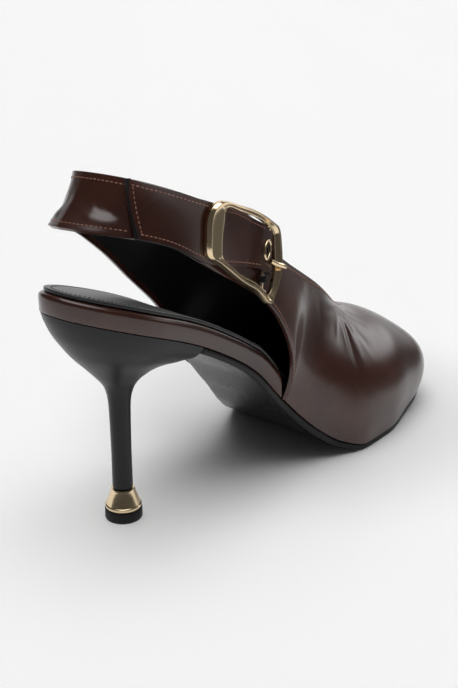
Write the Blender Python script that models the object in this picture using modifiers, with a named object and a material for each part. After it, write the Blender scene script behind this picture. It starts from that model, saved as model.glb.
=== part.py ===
# Slingback pump, right shoe: closed square toe, deep vamp, wide heel strap with a large
# asymmetric buckle, slim high heel with a metal collar.
# Frame: origin on the floor at the centre of the heel tip, +X to the toe, +Y to the inner
# (medial) side, +Z up. Lengths are in metres.

import math

import bmesh
import bpy
import numpy as np

MM = 0.001

# Sizes of the last
shoe_length = 213.0 * MM      # heel back to toe tip, measured along the floor
heel_back = -31.0 * MM        # x of the heel back, from the heel tip's axis
seat_height = 89.0 * MM       # underside of the insole board at the heel back
tread_height = 2.6 * MM       # underside of the insole board at the ball
ball_half = 36.0 * MM         # half the width across the ball
ankle_half = 30.0 * MM        # half the width across the strap
strap_height = 131.0 * MM     # top of the strap at the back

# Sizes of the pieces
wall = 1.6 * MM               # upper leather with its lining
strap_wall = 1.7 * MM         # buckle strap, two leathers
board_thick = 7.0 * MM        # covered insole board at the heel seat
board_front_thick = 2.6 * MM  # the same board inside the vamp
thin_from = 0.45              # place along the shoe at which the board starts to thin
thin_run = 0.10
end_margin = 6.0 * MM         # the flat pieces' rounded ends keep the shared sections this far off
sock_thick = 1.2 * MM
sock_inset = 1.8 * MM
sole_thick = 2.3 * MM
gap = 0.3 * MM                # clearance between two pieces that touch
merge_distance = 0.005 * MM
cover_margin = 0.6 * MM       # the board's edge steps in this far behind the upper's cut edge
cover_step = 1.6 * MM         # length of that step
board_inside = 3.6 * MM       # how far the board's edge lies inside the upper's outer face
sock_inside = 4.4 * MM
breast = 18.0 * MM            # x of the heel's front face
tip_radius = 6.9 * MM
tip_height = 4.2 * MM
collar_height = 7.6 * MM
collar_low_radius = 6.7 * MM
collar_top_radius = 4.3 * MM
collar_wall = 1.0 * MM
collar_lip = 0.15 * MM        # chamfer of the collar's top edge
collar_foot = 0.9 * MM        # height of the collar's upright foot
collar_foot_step = 0.25 * MM  # how far the foot stands out past the collar's cone
collar_foot_run = 0.3 * MM    # height of that step
tip_edge = 0.3 * MM           # chamfer of the top lift's edges
round_segments = 32           # sides of the heel, collar and top lift
end_steps = (0.02 * MM, 0.35 * MM, 1.1 * MM, 2.4 * MM, 4.5 * MM)  # sections from a flat piece's end

# Side view of the insole board's underside
side_profile = (
    # along: share of shoe_length, drop: share of seat_height above tread_height
    (0.000, 0.985),
    (0.090, 0.905),
    (0.195, 0.800),
    (0.285, 0.682),
    (0.372, 0.535),
    (0.443, 0.345),
    (0.516, 0.158),
    (0.578, 0.046),
    (0.636, 0.000),
    (0.710, 0.000),
    (0.790, 0.010),
    (0.890, 0.040),
    (1.000, 0.085),
)

# Cross sections of the flat pieces, as shares of shoe_length
cross_places = (
    0.03, 0.06, 0.10, 0.15, 0.20, 0.25, 0.30, 0.34, 0.38, 0.46, 0.49, 0.52, 0.55, 0.58,
    0.60, 0.62, 0.64, 0.67, 0.71, 0.75, 0.79, 0.83, 0.87, 0.90, 0.93, 0.95, 0.97,
)

# Plan of the last's bottom, in shares of ball_half
plan_widths = (
    # along, middle line, outer side, inner side
    (0.00, -0.055, 0.62, 0.56),
    (0.12, -0.055, 0.64, 0.56),
    (0.26, -0.040, 0.64, 0.51),
    (0.35, -0.020, 0.645, 0.44),
    (0.44, 0.000, 0.69, 0.48),
    (0.54, 0.000, 0.865, 0.70),
    (0.64, 0.000, 1.04, 0.94),
    (0.72, 0.000, 1.025, 1.00),
    (0.81, 0.000, 0.905, 0.945),
    (0.90, 0.000, 0.765, 0.84),
    (0.96, 0.000, 0.585, 0.73),
    (1.00, 0.000, 0.43, 0.62),
)
heel_round = 0.155            # length of the heel's round end, share of shoe_length
toe_round = 0.135             # length of the toe's rounded corners, share of shoe_length
toe_square = 2.2              # exponent of the toe's corner curve, 2 is an ellipse

# Ribs of the upper, from the toe tip to the heel back. A rib goes from the lower edge to the
# ridge, the throat or the strap's top edge. Where "out" holds a number, the lower end is
# free of the sole. x is a share of shoe_length from the heel back, y of ankle_half, z of
# strap_height.
# station: place of the lower end on the sole's outline, 0 at the toe tip and 1 at the heel back
# low_x, low_y, low_z: lower end, or None where it stands on the outline
# top_x, top_y, top_z: upper end
# stand: 1 where the wall stands straight up from the sole, 0 where it follows the rib
# close: 1 where the wall closes flat over the ridge, 0 where it follows the rib
# belly: how much the wall leans out over the sole and the rib bows outwards
outer_ribs = (
    # station, low_x, low_y, low_z, top_x, top_y, top_z, stand, close, belly
    (0.000, None, None, None, 0.946, 0.000, 0.205, 1.00, 1.00, 0.55),
    (0.045, None, None, None, 0.941, 0.000, 0.211, 1.00, 1.00, 0.55),
    (0.095, None, None, None, 0.921, 0.000, 0.240, 1.00, 1.00, 0.48),
    (0.165, None, None, None, 0.885, 0.000, 0.286, 1.00, 1.00, 0.38),
    (0.245, None, None, None, 0.844, 0.000, 0.326, 1.00, 1.00, 0.26),
    (0.330, None, None, None, 0.806, 0.000, 0.351, 1.00, 1.00, 0.18),
    (0.410, None, None, None, 0.768, 0.000, 0.361, 1.00, 1.00, 0.14),
    (0.470, None, None, None, 0.718, 0.170, 0.408, 0.85, 0.65, 0.10),
    (0.525, None, None, None, 0.667, 0.327, 0.460, 0.70, 0.50, 0.12),
    (0.560, None, None, None, 0.615, 0.434, 0.517, 0.55, 0.40, 0.10),
    (None, 0.445, 0.955, 0.328, 0.563, 0.532, 0.568, 0.38, 0.25, 0.14),
    (None, 0.438, 0.972, 0.408, 0.510, 0.620, 0.618, 0.20, 0.10, 0.20),
    (None, 0.408, 0.972, 0.513, 0.451, 0.719, 0.675, 0.06, 0.00, 0.20),
    (None, 0.347, 0.972, 0.619, 0.392, 0.815, 0.737, 0.00, 0.00, 0.16),
    (None, 0.278, 0.987, 0.691, 0.331, 0.899, 0.807, 0.00, 0.00, 0.08),
    (None, 0.208, 0.973, 0.763, 0.247, 0.936, 0.897, 0.00, 0.00, 0.00),
    (None, 0.153, 0.877, 0.824, 0.181, 0.833, 0.950, 0.00, 0.00, -0.12),
    (None, 0.096, 0.700, 0.859, 0.127, 0.633, 0.985, 0.00, 0.00, -0.26),
    (None, 0.050, 0.400, 0.878, 0.099, 0.333, 1.000, 0.00, 0.00, -0.32),
    (None, 0.034, 0.000, 0.880, 0.091, 0.000, 1.000, 0.00, 0.00, -0.34),
)
inner_ribs = (
    (0.000, None, None, None, 0.946, 0.000, 0.205, 1.00, 1.00, 0.55),
    (0.045, None, None, None, 0.941, 0.000, 0.211, 1.00, 1.00, 0.55),
    (0.095, None, None, None, 0.921, 0.000, 0.240, 1.00, 1.00, 0.48),
    (0.165, None, None, None, 0.885, 0.000, 0.286, 1.00, 1.00, 0.38),
    (0.245, None, None, None, 0.844, 0.000, 0.326, 1.00, 1.00, 0.26),
    (0.330, None, None, None, 0.806, 0.000, 0.351, 1.00, 1.00, 0.18),
    (0.415, None, None, None, 0.768, 0.000, 0.361, 1.00, 1.00, 0.14),
    (0.475, None, None, None, 0.708, 0.215, 0.413, 0.85, 0.65, 0.10),
    (0.535, None, None, None, 0.644, 0.400, 0.467, 0.70, 0.50, 0.12),
    (0.575, None, None, None, 0.595, 0.500, 0.517, 0.55, 0.40, 0.10),
    (None, 0.416, 0.945, 0.324, 0.553, 0.580, 0.553, 0.38, 0.25, 0.14),
    (None, 0.398, 0.955, 0.408, 0.497, 0.680, 0.605, 0.20, 0.10, 0.20),
    (None, 0.359, 0.935, 0.500, 0.427, 0.770, 0.670, 0.06, 0.00, 0.20),
    (None, 0.297, 0.920, 0.599, 0.341, 0.840, 0.718, 0.00, 0.00, 0.14),
    (None, 0.247, 0.905, 0.682, 0.286, 0.855, 0.802, 0.00, 0.00, 0.08),
    (None, 0.195, 0.840, 0.752, 0.228, 0.795, 0.874, 0.00, 0.00, 0.00),
    (None, 0.149, 0.717, 0.802, 0.175, 0.650, 0.926, 0.00, 0.00, -0.12),
    (None, 0.096, 0.533, 0.842, 0.131, 0.467, 0.966, 0.00, 0.00, -0.26),
    (None, 0.048, 0.267, 0.869, 0.101, 0.233, 0.991, 0.00, 0.00, -0.32),
    (None, 0.034, 0.000, 0.880, 0.091, 0.000, 1.000, 0.00, 0.00, -0.34),
)

toe_fullness = 1.95           # how square the vamp's sections are, 1.66 is an ellipse
ease_reach = 3.0              # ribs on each side of a guide curve's corner that are eased
ease_window = 1.3             # half width of the easing average, in ribs
edge_share = 0.30             # share of the height over which the surface regains its true edge
fair_middle = 8.0             # rib round which neighbouring sections are averaged
fair_reach = 6.5
fair_window = 2.2
grid_columns = 20             # the surface is kept on a fine grid: columns a rib, and rows
grid_rows = 60

# Heel: how its sections grow from the round shaft to the seat
heel_sections = (
    # height: share of the way from the floor to the seat, radius of the round shaft in mm,
    # seat: 0 where the section is the round shaft, 1 where it is the seat's outline
    (0.150, 3.75, 0.000),
    (0.300, 3.70, 0.000),
    (0.450, 3.80, 0.000),
    (0.560, 3.95, 0.000),
    (0.620, 4.15, 0.010),
    (0.664, 4.30, 0.040),
    (0.708, 4.30, 0.115),
    (0.746, 4.30, 0.220),
    (0.784, 4.30, 0.345),
    (0.818, 4.30, 0.485),
    (0.850, 4.30, 0.625),
    (0.882, 4.30, 0.742),
    (0.913, 4.30, 0.850),
    (0.946, 4.30, 0.925),
    (0.980, 4.30, 0.980),
    (1.000, 4.30, 1.000),
)

# Buckle strap on the outer side, from its cut end behind the ankle to its fold in the buckle.
strap_edges = (
    # along, low and top: its edges as shares of the sling's height
    (0.00, -0.03, 1.01),
    (0.20, -0.03, 1.00),
    (0.40, -0.02, 0.99),
    (0.52, 0.03, 1.01),
    (0.62, 0.11, 1.06),
    (0.72, 0.22, 1.13),
    (0.82, 0.32, 1.165),
    (0.92, 0.385, 1.17),
    (1.00, 0.40, 1.13),
)
strap_start = (16.95, 0.44)   # rib of the cut end at the low edge, and its slant

# Buckle frame: its outer and inner edge, in ribs of the outer side and shares of height
frame_edges = (
    # outer rib, outer height, inner rib, inner height
    (15.27, 0.28, 14.86, 0.42),
    (15.34, 0.50, 14.92, 0.63),
    (15.38, 0.65, 14.95, 0.81),
    (15.38, 0.79, 14.98, 0.94),
    (15.31, 0.96, 14.96, 1.015),
    (15.13, 1.09, 14.89, 1.06),
    (14.91, 1.135, 14.73, 1.08),
    (14.46, 1.23, 14.50, 1.115),
    (13.75, 1.34, 13.99, 1.215),
    (13.29, 1.37, 13.60, 1.23),
    (12.99, 1.32, 13.27, 1.19),
    (12.86, 1.05, 13.18, 1.00),
    (12.82, 0.85, 13.09, 0.78),
    (12.81, 0.55, 13.00, 0.53),
    (12.86, 0.20, 12.98, 0.30),
    (12.89, 0.04, 12.99, 0.145),
    (12.92, -0.08, 13.04, 0.045),
    (13.21, -0.085, 13.31, 0.07),
    (13.95, -0.015, 14.04, 0.115),
    (14.63, 0.065, 14.46, 0.165),
    (15.00, 0.09, 14.66, 0.195),
    (15.17, 0.105, 14.76, 0.235),
    (15.23, 0.18, 14.81, 0.30),
)
frame_section = (
    # across: 0 at the outer edge, 1 at the inner edge, height: share of frame_thick
    (0.00, 0.00),
    (0.00, 0.60),
    (0.16, 1.00),
    (0.46, 0.94),
    (0.84, 0.52),
    (1.00, 0.50),
    (1.00, 0.00),
)
frame_thick = 2.7 * MM
frame_steps = 50              # sections round the frame
frame_fair = 4                # neighbours on either side that its normals are averaged over
bar_radius = 0.8 * MM         # centre bar that the strap folds over
bar_post = 1.5 * MM           # its ends, where it joins the frame
bar_post_lift = 0.3 * MM      # how much higher its ends lie
bar_clear = 0.1 * MM          # room below the bar beyond the gap
bar_top = (13.48, 1.280)      # rib and height of its two ends
bar_low = (13.14, -0.010)
bar_middle = 0.63             # height round which the bar is thin
bar_half = (0.53, 0.58)       # heights from there at which the bar starts and ends to thicken
bar_heights = (0.04, 0.10, 0.16, 0.45, 0.75, 1.00, 1.16, 1.22)  # its sections between the ends
fold_flat = 0.42              # length of the strap's raised part beside the bar, in ribs
fold_reach = 0.80             # the same with its slope
fold_turn = 90                # degrees that the strap wraps round the bar
hole_at = (13.60, 0.75)
hole_half = (1.5 * MM, 2.9 * MM)
hole_depth = 9.0 * MM         # length of the hole's cutter
eyelet_wire = 0.45 * MM
prong_path = (
    # rib, height, rise above the upper in mm, radius in mm
    (13.40, 0.585, 5.15, 0.72),
    (13.25, 0.585, 5.30, 0.85),
    (13.12, 0.590, 5.60, 0.90),
    (13.00, 0.600, 6.10, 0.92),
    (12.91, 0.605, 6.25, 0.90),
    (12.84, 0.610, 6.20, 0.80),
)
loop_range = (0.21, 0.33)     # heights between which the loop bridges the centre bar
loop_wall = 0.7 * MM


def spline(knots, values, at):
    # Natural cubic spline through the values (one row a knot), read at the given places.
    knots = np.asarray(knots, float)
    values = np.asarray(values, float)
    flat = values.reshape(len(knots), -1)
    at = np.atleast_1d(np.asarray(at, float))
    step = np.diff(knots)
    n = len(knots)
    system = np.eye(n)
    right = np.zeros((n, flat.shape[1]))
    for i in range(1, n - 1):
        system[i, i - 1] = step[i - 1]
        system[i, i] = 2 * (step[i - 1] + step[i])
        system[i, i + 1] = step[i]
        right[i] = 6 * ((flat[i + 1] - flat[i]) / step[i] - (flat[i] - flat[i - 1]) / step[i - 1])
    bend = np.linalg.solve(system, right)
    k = np.clip(np.searchsorted(knots, at, side="right") - 1, 0, n - 2)
    h = step[k][:, None]
    a = (knots[k + 1][:, None] - at[:, None]) / h
    b = 1 - a
    made = a * flat[k] + b * flat[k + 1]
    made += ((a ** 3 - a) * bend[k] + (b ** 3 - b) * bend[k + 1]) * h ** 2 / 6
    return made.reshape((len(at),) + values.shape[1:])


def steady(knots, values, at):
    # Cubic curve through the values that doesn't overshoot: flat stretches stay flat.
    knots = np.asarray(knots, float)
    values = np.asarray(values, float)
    at = np.atleast_1d(np.asarray(at, float))
    step = np.diff(knots)
    slope = np.diff(values) / step
    tangent = np.zeros(len(knots))
    tangent[0], tangent[-1] = slope[0], slope[-1]
    for i in range(1, len(knots) - 1):
        if slope[i - 1] * slope[i] > 0:
            w1 = 2 * step[i] + step[i - 1]
            w2 = step[i] + 2 * step[i - 1]
            tangent[i] = (w1 + w2) / (w1 / slope[i - 1] + w2 / slope[i])
    k = np.clip(np.searchsorted(knots, at, side="right") - 1, 0, len(knots) - 2)
    h = step[k]
    t = (at - knots[k]) / h
    return ((2 * t ** 3 - 3 * t ** 2 + 1) * values[k] + (t ** 3 - 2 * t ** 2 + t) * h * tangent[k]
            + (3 * t ** 2 - 2 * t ** 3) * values[k + 1] + (t ** 3 - t ** 2) * h * tangent[k + 1])


def smooth(t):
    t = np.clip(t, 0, 1)
    return t * t * (3 - 2 * t)


def eased(curve, middle, reach, window, at):
    # The curve eased by a moving average that fades out away from the middle.
    width = window * smooth(1 - np.abs(at - middle) / reach)
    places = np.linspace(-0.9, 0.9, 13)
    weights = 1 + np.cos(math.pi * places)
    return sum(w * curve(at + p * width) for p, w in zip(places, weights)) / weights.sum()


def run_of(points):
    # Distance along a row of points.
    return np.concatenate([[0], np.cumsum(np.linalg.norm(np.diff(points, axis=0), axis=1))])


profile_rows = np.array(side_profile)
width_rows = np.array(plan_widths)


def board_z(x):
    # Height of the insole board's underside at x.
    share = (np.atleast_1d(x) - heel_back) / shoe_length
    drop = steady(profile_rows[:, 0], profile_rows[:, 1], np.clip(share, 0, 1))
    return tread_height + drop * (seat_height - tread_height)


def edge_y(x, side, inset=0.0):
    # The bottom's edge at x, on side -1 (outer) or +1 (inner), moved inwards by inset.
    share = (np.atleast_1d(x) - heel_back) / shoe_length
    trim = inset / shoe_length
    column = 2 if side < 0 else 3
    middle = steady(width_rows[:, 0], width_rows[:, 1], np.clip(share, 0, 1)) * ball_half
    width = steady(width_rows[:, 0], width_rows[:, column], np.clip(share, 0, 1)) * ball_half - inset
    back = np.clip((heel_round + trim - share) / heel_round, 0, 1)
    front = np.clip((share - 1 + toe_round + trim) / toe_round, 0, 1)
    ends = np.sqrt(1 - back ** 2) * (1 - front ** toe_square) ** (1 / toe_square)
    return middle + side * width * ends


def outline_points(side, inset=0.0, count=400):
    # The bottom's outline from the toe tip to the heel back, closely spaced.
    turn = np.linspace(0, math.pi, count)
    first = heel_back + inset
    last = heel_back + shoe_length - inset
    x = first + (last - first) * (1 + np.cos(turn)) / 2
    return np.stack([x, edge_y(x, side, inset)], 1)


def unit(v):
    return v / np.maximum(np.linalg.norm(v, axis=-1, keepdims=True), 1e-12)


class HalfUpper:
    # One side of the upper's outer surface. u counts the ribs of the table from 0 at the toe
    # tip, v runs from 0 at the lower edge to 1 at the upper edge.

    def __init__(self, table, side):
        self.side = side
        self.outline = outline_points(side)
        self.run = run_of(self.outline)
        low, top, shape = [], [], []
        for station, low_x, low_y, low_z, top_x, top_y, top_z, stand, close, belly in table:
            if station is not None:
                low.append(self.on_outline([station])[0])
            else:
                low.append(self.place(low_x, low_y, low_z))
            top.append(self.place(top_x, top_y, top_z))
            shape.append([stand, close, belly])
        self.low, self.top, self.shape = np.array(low), np.array(top), np.array(shape)
        self.ribs = np.arange(len(table), dtype=float)
        self.stations = [row[0] for row in table if row[0] is not None]
        self.ridge_end = int(np.max(np.where(np.abs(self.top[:-1, 1]) < 1e-9)[0]))
        self.make_grid()

    def place(self, x, y, z):
        return [heel_back + x * shoe_length, self.side * y * ankle_half, z * strap_height]

    def on_outline(self, shares):
        # The outline's points at shares of its length, 0 at the toe tip and 1 at the heel back.
        at = np.asarray(shares) * self.run[-1]
        x = np.interp(at, self.run, self.outline[:, 0])
        y = np.interp(at, self.run, self.outline[:, 1])
        return np.stack([x, y, board_z(x)], 1)

    def curve(self, rows, first, u):
        # Smooth curve through the rows from the given rib on, read at u.
        knots = run_of(rows)
        return spline(knots, rows, steady(self.ribs[first:first + len(rows)], knots, u))

    def lower(self, u):
        # On the sole the lower edge follows the outline exactly, above it a smooth curve.
        k = len(self.stations) - 1
        made = np.empty((len(u), 3))
        on_sole = u <= k
        made[on_sole] = self.on_outline(steady(self.ribs[:k + 1], self.stations, u[on_sole]))
        made[~on_sole] = self.curve(self.low[k:], k, u[~on_sole])
        return made

    def upper(self, u):
        # Along the ridge the curve stays in the middle plane, past the throat point it is free.
        k = self.ridge_end
        made = np.empty((len(u), 3))
        ridge = u <= k
        made[ridge] = self.curve(self.top[:k + 1], 0, u[ridge])
        made[~ridge] = self.curve(self.top[k:], k, u[~ridge])
        return made

    def eased_lower(self, u):
        return eased(self.lower, len(self.stations) - 1, ease_reach, ease_window, u)

    def eased_upper(self, u):
        return eased(self.upper, self.ridge_end, ease_reach, ease_window, u)

    def outward(self, u):
        # Plan direction that points away from the foot, square to the lower edge.
        e = 1e-3
        end = self.ribs[-1]
        along = self.eased_lower(np.clip(u + e, 0, end)) - self.eased_lower(np.clip(u - e, 0, end))
        out = unit(np.stack([along[:, 1], -along[:, 0], 0 * along[:, 0]], 1) * self.side)
        out[:, 1] *= smooth(np.minimum(u, end - u))
        return unit(out)

    def make_grid(self):
        # The surface on a fine grid of ribs and heights, with its outward normals.
        self.grid_u = np.linspace(0, self.ribs[-1], len(self.ribs[1:]) * grid_columns + 1)
        t = np.linspace(0, 1, grid_rows + 1)[None, :, None] + 0 * self.grid_u[:, None, None]
        made = self.section(self.grid_u, t)
        flat = made.reshape(len(made), -1)

        def sections(at):
            return np.stack([np.interp(at, self.grid_u, column) for column in flat.T], 1)

        fair = eased(sections, fair_middle, fair_reach, fair_window, self.grid_u).reshape(made.shape)
        self.grid = made + smooth(np.minimum(t, 1 - t) / edge_share) * (fair - made)
        du = np.gradient(self.grid, axis=0, edge_order=2)
        dv = np.gradient(self.grid, axis=1, edge_order=2)
        self.grid_normal = unit(np.cross(du, dv)) * self.side

    def read(self, rows, u, v):
        # The grid's rows at ribs u and at heights v: one row of heights for all ribs, or one each.
        u = np.atleast_1d(np.asarray(u, float))[:, None]
        v = np.asarray(v, float)
        u, v = np.broadcast_arrays(u, v if v.ndim > 1 else v[None, :])
        x = np.clip(u / self.ribs[-1], 0, 1) * (len(self.grid_u) - 1)
        y = np.clip(v, 0, 1) * grid_rows
        i = np.minimum(x.astype(int), len(self.grid_u) - 2)
        j = np.minimum(y.astype(int), grid_rows - 1)
        x, y = (x - i)[..., None], (y - j)[..., None]
        return ((1 - x) * (1 - y) * rows[i, j] + x * (1 - y) * rows[i + 1, j]
                + (1 - x) * y * rows[i, j + 1] + x * y * rows[i + 1, j + 1])

    def points(self, u, v):
        # A row of points for each u. Heights below 0 or over 1 carry on along the surface.
        v = np.asarray(v, float)
        made = self.read(self.grid, u, v)
        beyond = v - np.clip(v, 0, 1)
        if np.any(beyond):
            e = 1 / grid_rows
            inside = np.where(v > 0.5, 1 - e, e)
            step = self.read(self.grid, u, np.clip(v, 0, 1)) - self.read(self.grid, u, inside)
            made = made + step * (np.abs(beyond) / e * np.ones(made.shape[:2]))[..., None]
        return made

    def normals(self, u, v):
        # Outward unit normals of the same places.
        return unit(self.read(self.grid_normal, u, v))

    def section(self, u, t):
        # The ribs at u as cubic curves between the two eased edges, brought back to the true edges.
        a, b = self.eased_lower(u), self.eased_upper(u)
        stand, close, belly = [steady(self.ribs, self.shape[:, c], u)[:, None] for c in range(3)]
        out = self.outward(u)
        reach = np.linalg.norm(b - a, axis=1, keepdims=True)
        d = (b - a) / reach
        e = 1e-3
        end = self.ribs[-1]
        ridge = self.eased_upper(np.clip(u + e, 0, end)) - self.eased_upper(np.clip(u - e, 0, end))
        climb = ridge[:, 2] / np.minimum(ridge[:, 0], -1e-9)
        flat = (b - a) * (1, 1, 0)
        over = unit(flat)
        over[:, 2] = np.clip(climb * over[:, 0], -1, 1)
        up = np.array([0, 0, 1.0]) + belly * out
        start = stand * toe_fullness * (b - a)[:, 2:3] * up + (1 - stand) * reach * unit(d + belly * out)
        plan = np.linalg.norm(flat, axis=1, keepdims=True)
        finish = close * toe_fullness * plan * over + (1 - close) * reach * unit(d - belly * out)
        h1, h2 = 2 * t ** 3 - 3 * t ** 2 + 1, t ** 3 - 2 * t ** 2 + t
        h3, h4 = 3 * t ** 2 - 2 * t ** 3, t ** 3 - t ** 2
        made = h1 * a[:, None] + h2 * start[:, None] + h3 * b[:, None] + h4 * finish[:, None]
        made += smooth(1 - t / edge_share) * (self.lower(u) - a)[:, None]
        made += smooth(1 - (1 - t) / edge_share) * (self.upper(u) - b)[:, None]
        return made


outer_side = HalfUpper(outer_ribs, -1)
inner_side = HalfUpper(inner_ribs, 1)


def clear_scene():
    for ob in list(bpy.data.objects):
        bpy.data.objects.remove(ob, do_unlink=True)
    for col in list(bpy.data.collections):
        bpy.data.collections.remove(col)


def material(name, color, metallic, roughness):
    mat = bpy.data.materials.new(name)
    mat.use_nodes = True
    shader = mat.node_tree.nodes["Principled BSDF"]
    shader.inputs["Base Color"].default_value = (*color, 1)
    shader.inputs["Metallic"].default_value = metallic
    shader.inputs["Roughness"].default_value = roughness
    return mat


def add_mesh(name, verts, faces, mat, smooth_angle=40):
    # A mesh object in the shoe's collection, with outward faces and smooth round parts.
    mesh = bpy.data.meshes.new(name)
    bm = bmesh.new()
    made = [bm.verts.new(v) for v in verts]
    for face in faces:
        corners = list(dict.fromkeys(made[i] for i in face))
        if len(corners) > 2:
            bm.faces.new(corners)
    bmesh.ops.remove_doubles(bm, verts=bm.verts, dist=merge_distance)
    bmesh.ops.recalc_face_normals(bm, faces=bm.faces)
    bm.to_mesh(mesh)
    bm.free()
    mesh.materials.append(mat)
    ob = bpy.data.objects.new(name, mesh)
    shoe.objects.link(ob)
    mesh.shade_smooth()
    mesh.set_sharp_from_angle(angle=math.radians(smooth_angle))
    return ob


def rings_solid(name, rings, mat, smooth_angle=40):
    # A closed solid through rings of equal length, capped at both ends.
    count = len(rings[0])
    verts = [tuple(p) for ring in rings for p in ring]
    faces = []
    for r in range(len(rings) - 1):
        for i in range(count):
            j = (i + 1) % count
            faces.append((r * count + i, r * count + j, (r + 1) * count + j, (r + 1) * count + i))
    faces.append(tuple(range(count)))
    faces.append(tuple(reversed(range((len(rings) - 1) * count, len(rings) * count))))
    return add_mesh(name, verts, faces, mat, smooth_angle)


def slab(name, under, over, mat, smooth_angle=40):
    # A closed solid between two grids of points with equal rows and columns.
    rows, cols = under.shape[:2]
    verts = [tuple(p) for p in under.reshape(-1, 3)] + [tuple(p) for p in over.reshape(-1, 3)]
    half = rows * cols
    faces = []
    for r in range(rows - 1):
        for c in range(cols - 1):
            a, b = r * cols + c, r * cols + c + 1
            d, e = (r + 1) * cols + c, (r + 1) * cols + c + 1
            faces.append((a, b, e, d))
            faces.append((half + a, half + d, half + e, half + b))
    border = [(0, c) for c in range(cols)] + [(r, cols - 1) for r in range(1, rows)]
    border += [(rows - 1, c) for c in range(cols - 2, -1, -1)] + [(r, 0) for r in range(rows - 2, 0, -1)]
    for (r1, c1), (r2, c2) in zip(border, border[1:] + border[:1]):
        a, b = r1 * cols + c1, r2 * cols + c2
        faces.append((a, half + a, half + b, b))
    return add_mesh(name, verts, faces, mat, smooth_angle)


def turned(name, profile, mat, segments):
    # A Screw solid from (radius, height) pairs given from the top down its outer side. A
    # profile that keeps off the axis is closed into a ring.
    mesh = bpy.data.meshes.new(name)
    verts = [(r, 0, z) for r, z in profile]
    edges = [(i, i + 1) for i in range(len(verts) - 1)]
    if verts[0][0] > 0:
        edges.append((len(verts) - 1, 0))
    mesh.from_pydata(verts, edges, [])
    ob = bpy.data.objects.new(name, mesh)
    shoe.objects.link(ob)
    screw = ob.modifiers.new("turn", "SCREW")
    screw.steps = segments
    screw.render_steps = segments
    screw.use_merge_vertices = True
    screw.merge_threshold = merge_distance
    screw.use_smooth_shade = True
    mesh.materials.append(mat)
    return ob


def board_slope(x):
    e = 0.5 * MM
    return (board_z(x + e) - board_z(x - e)) / (2 * e)


def off_board(x, y, rise):
    # Points above (rise > 0) or below the insole board's underside. The rise is measured
    # square to the board, the points stay at their x.
    return np.stack([x, y, board_z(x) + rise * np.sqrt(1 + board_slope(x) ** 2)], -1)


def covered_inset(x, side, behind, inside):
    # Inset of the outline on one side: behind where the board's edge is bare, inside where
    # the upper covers it.
    half = outer_side if side < 0 else inner_side
    cut_x = half.low[len(half.stations) - 1, 0]
    return behind + (inside - behind) * smooth((x - cut_x + cover_margin + cover_step) / cover_step)


def stations_between(first, last):
    # x places of the cross sections: shared ones, and close ones at the rounded ends.
    shared = heel_back + shoe_length * np.array(cross_places)
    ends = np.array(end_steps)
    steps = []
    for half in (outer_side, inner_side):
        cut_x = half.low[len(half.stations) - 1, 0] - cover_margin
        steps += [cut_x - cover_step, cut_x - 0.5 * cover_step, cut_x]
    inner = np.concatenate([shared, steps])
    inner = inner[(inner > first + end_margin) & (inner < last - end_margin)]
    return np.unique(np.concatenate([first + ends, inner, last - ends]))


def plate(name, first, last, inset, low, high, mat, across=4):
    # A sheet that follows the board from x = first to last. inset is a function of x and the
    # side, low and high are the heights of its two faces as functions of x.
    x = stations_between(first, last)
    outer = np.array([edge_y(a, -1, inset(a, -1))[0] for a in x])
    inner = np.array([edge_y(a, 1, inset(a, 1))[0] for a in x])
    share = (1 - np.cos(np.linspace(0, math.pi, across + 1))) / 2
    share = 0.5 * share + 0.5 * np.linspace(0, 1, across + 1)
    y = outer[:, None] + (inner - outer)[:, None] * share[None, :]
    xs = np.repeat(x[:, None], across + 1, 1)
    under = off_board(xs, y, low(x)[:, None])
    over = off_board(xs, y, high(x)[:, None])
    return slab(name, under, over, mat, 50)


def board_top(x):
    # Thickness of the covered board: full at the bare edge, thinner inside the vamp.
    t = smooth(((x - heel_back) / shoe_length - thin_from) / thin_run)
    return board_thick + (board_front_thick - board_thick) * t


def sock_under(x):
    return board_top(x) + gap


def build_bottom():
    front = heel_back + shoe_length
    insole = plate("insole", heel_back, front - board_inside,
                   lambda x, side: covered_inset(x, side, 0, board_inside),
                   lambda x: 0 * x, board_top, brown_leather)
    sock = plate("sock", heel_back + sock_inset, front - sock_inside,
                 lambda x, side: covered_inset(x, side, sock_inset, sock_inside),
                 sock_under, lambda x: sock_under(x) + sock_thick, black_lining)
    outsole = plate("outsole", breast + gap, front - gap, lambda x, side: gap,
                    lambda x: 0 * x - gap - sole_thick, lambda x: 0 * x - gap, black_sole)
    return insole, sock, outsole


def seat_ring(count):
    # The heel's top outline: the seat's edge behind the breast, then straight across.
    x = breast - (breast - heel_back - gap) * (1 - np.cos(np.linspace(0, math.pi, 60))) / 2
    outer = np.stack([x, edge_y(x, -1, gap)], 1)
    inner = np.stack([x, edge_y(x, 1, gap)], 1)[::-1]
    loop = np.concatenate([outer, inner[1:], outer[:1]])
    run = run_of(loop)
    at = np.arange(count) / count * run[-1]
    return np.stack([np.interp(at, run, loop[:, 0]), np.interp(at, run, loop[:, 1])], 1)


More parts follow.
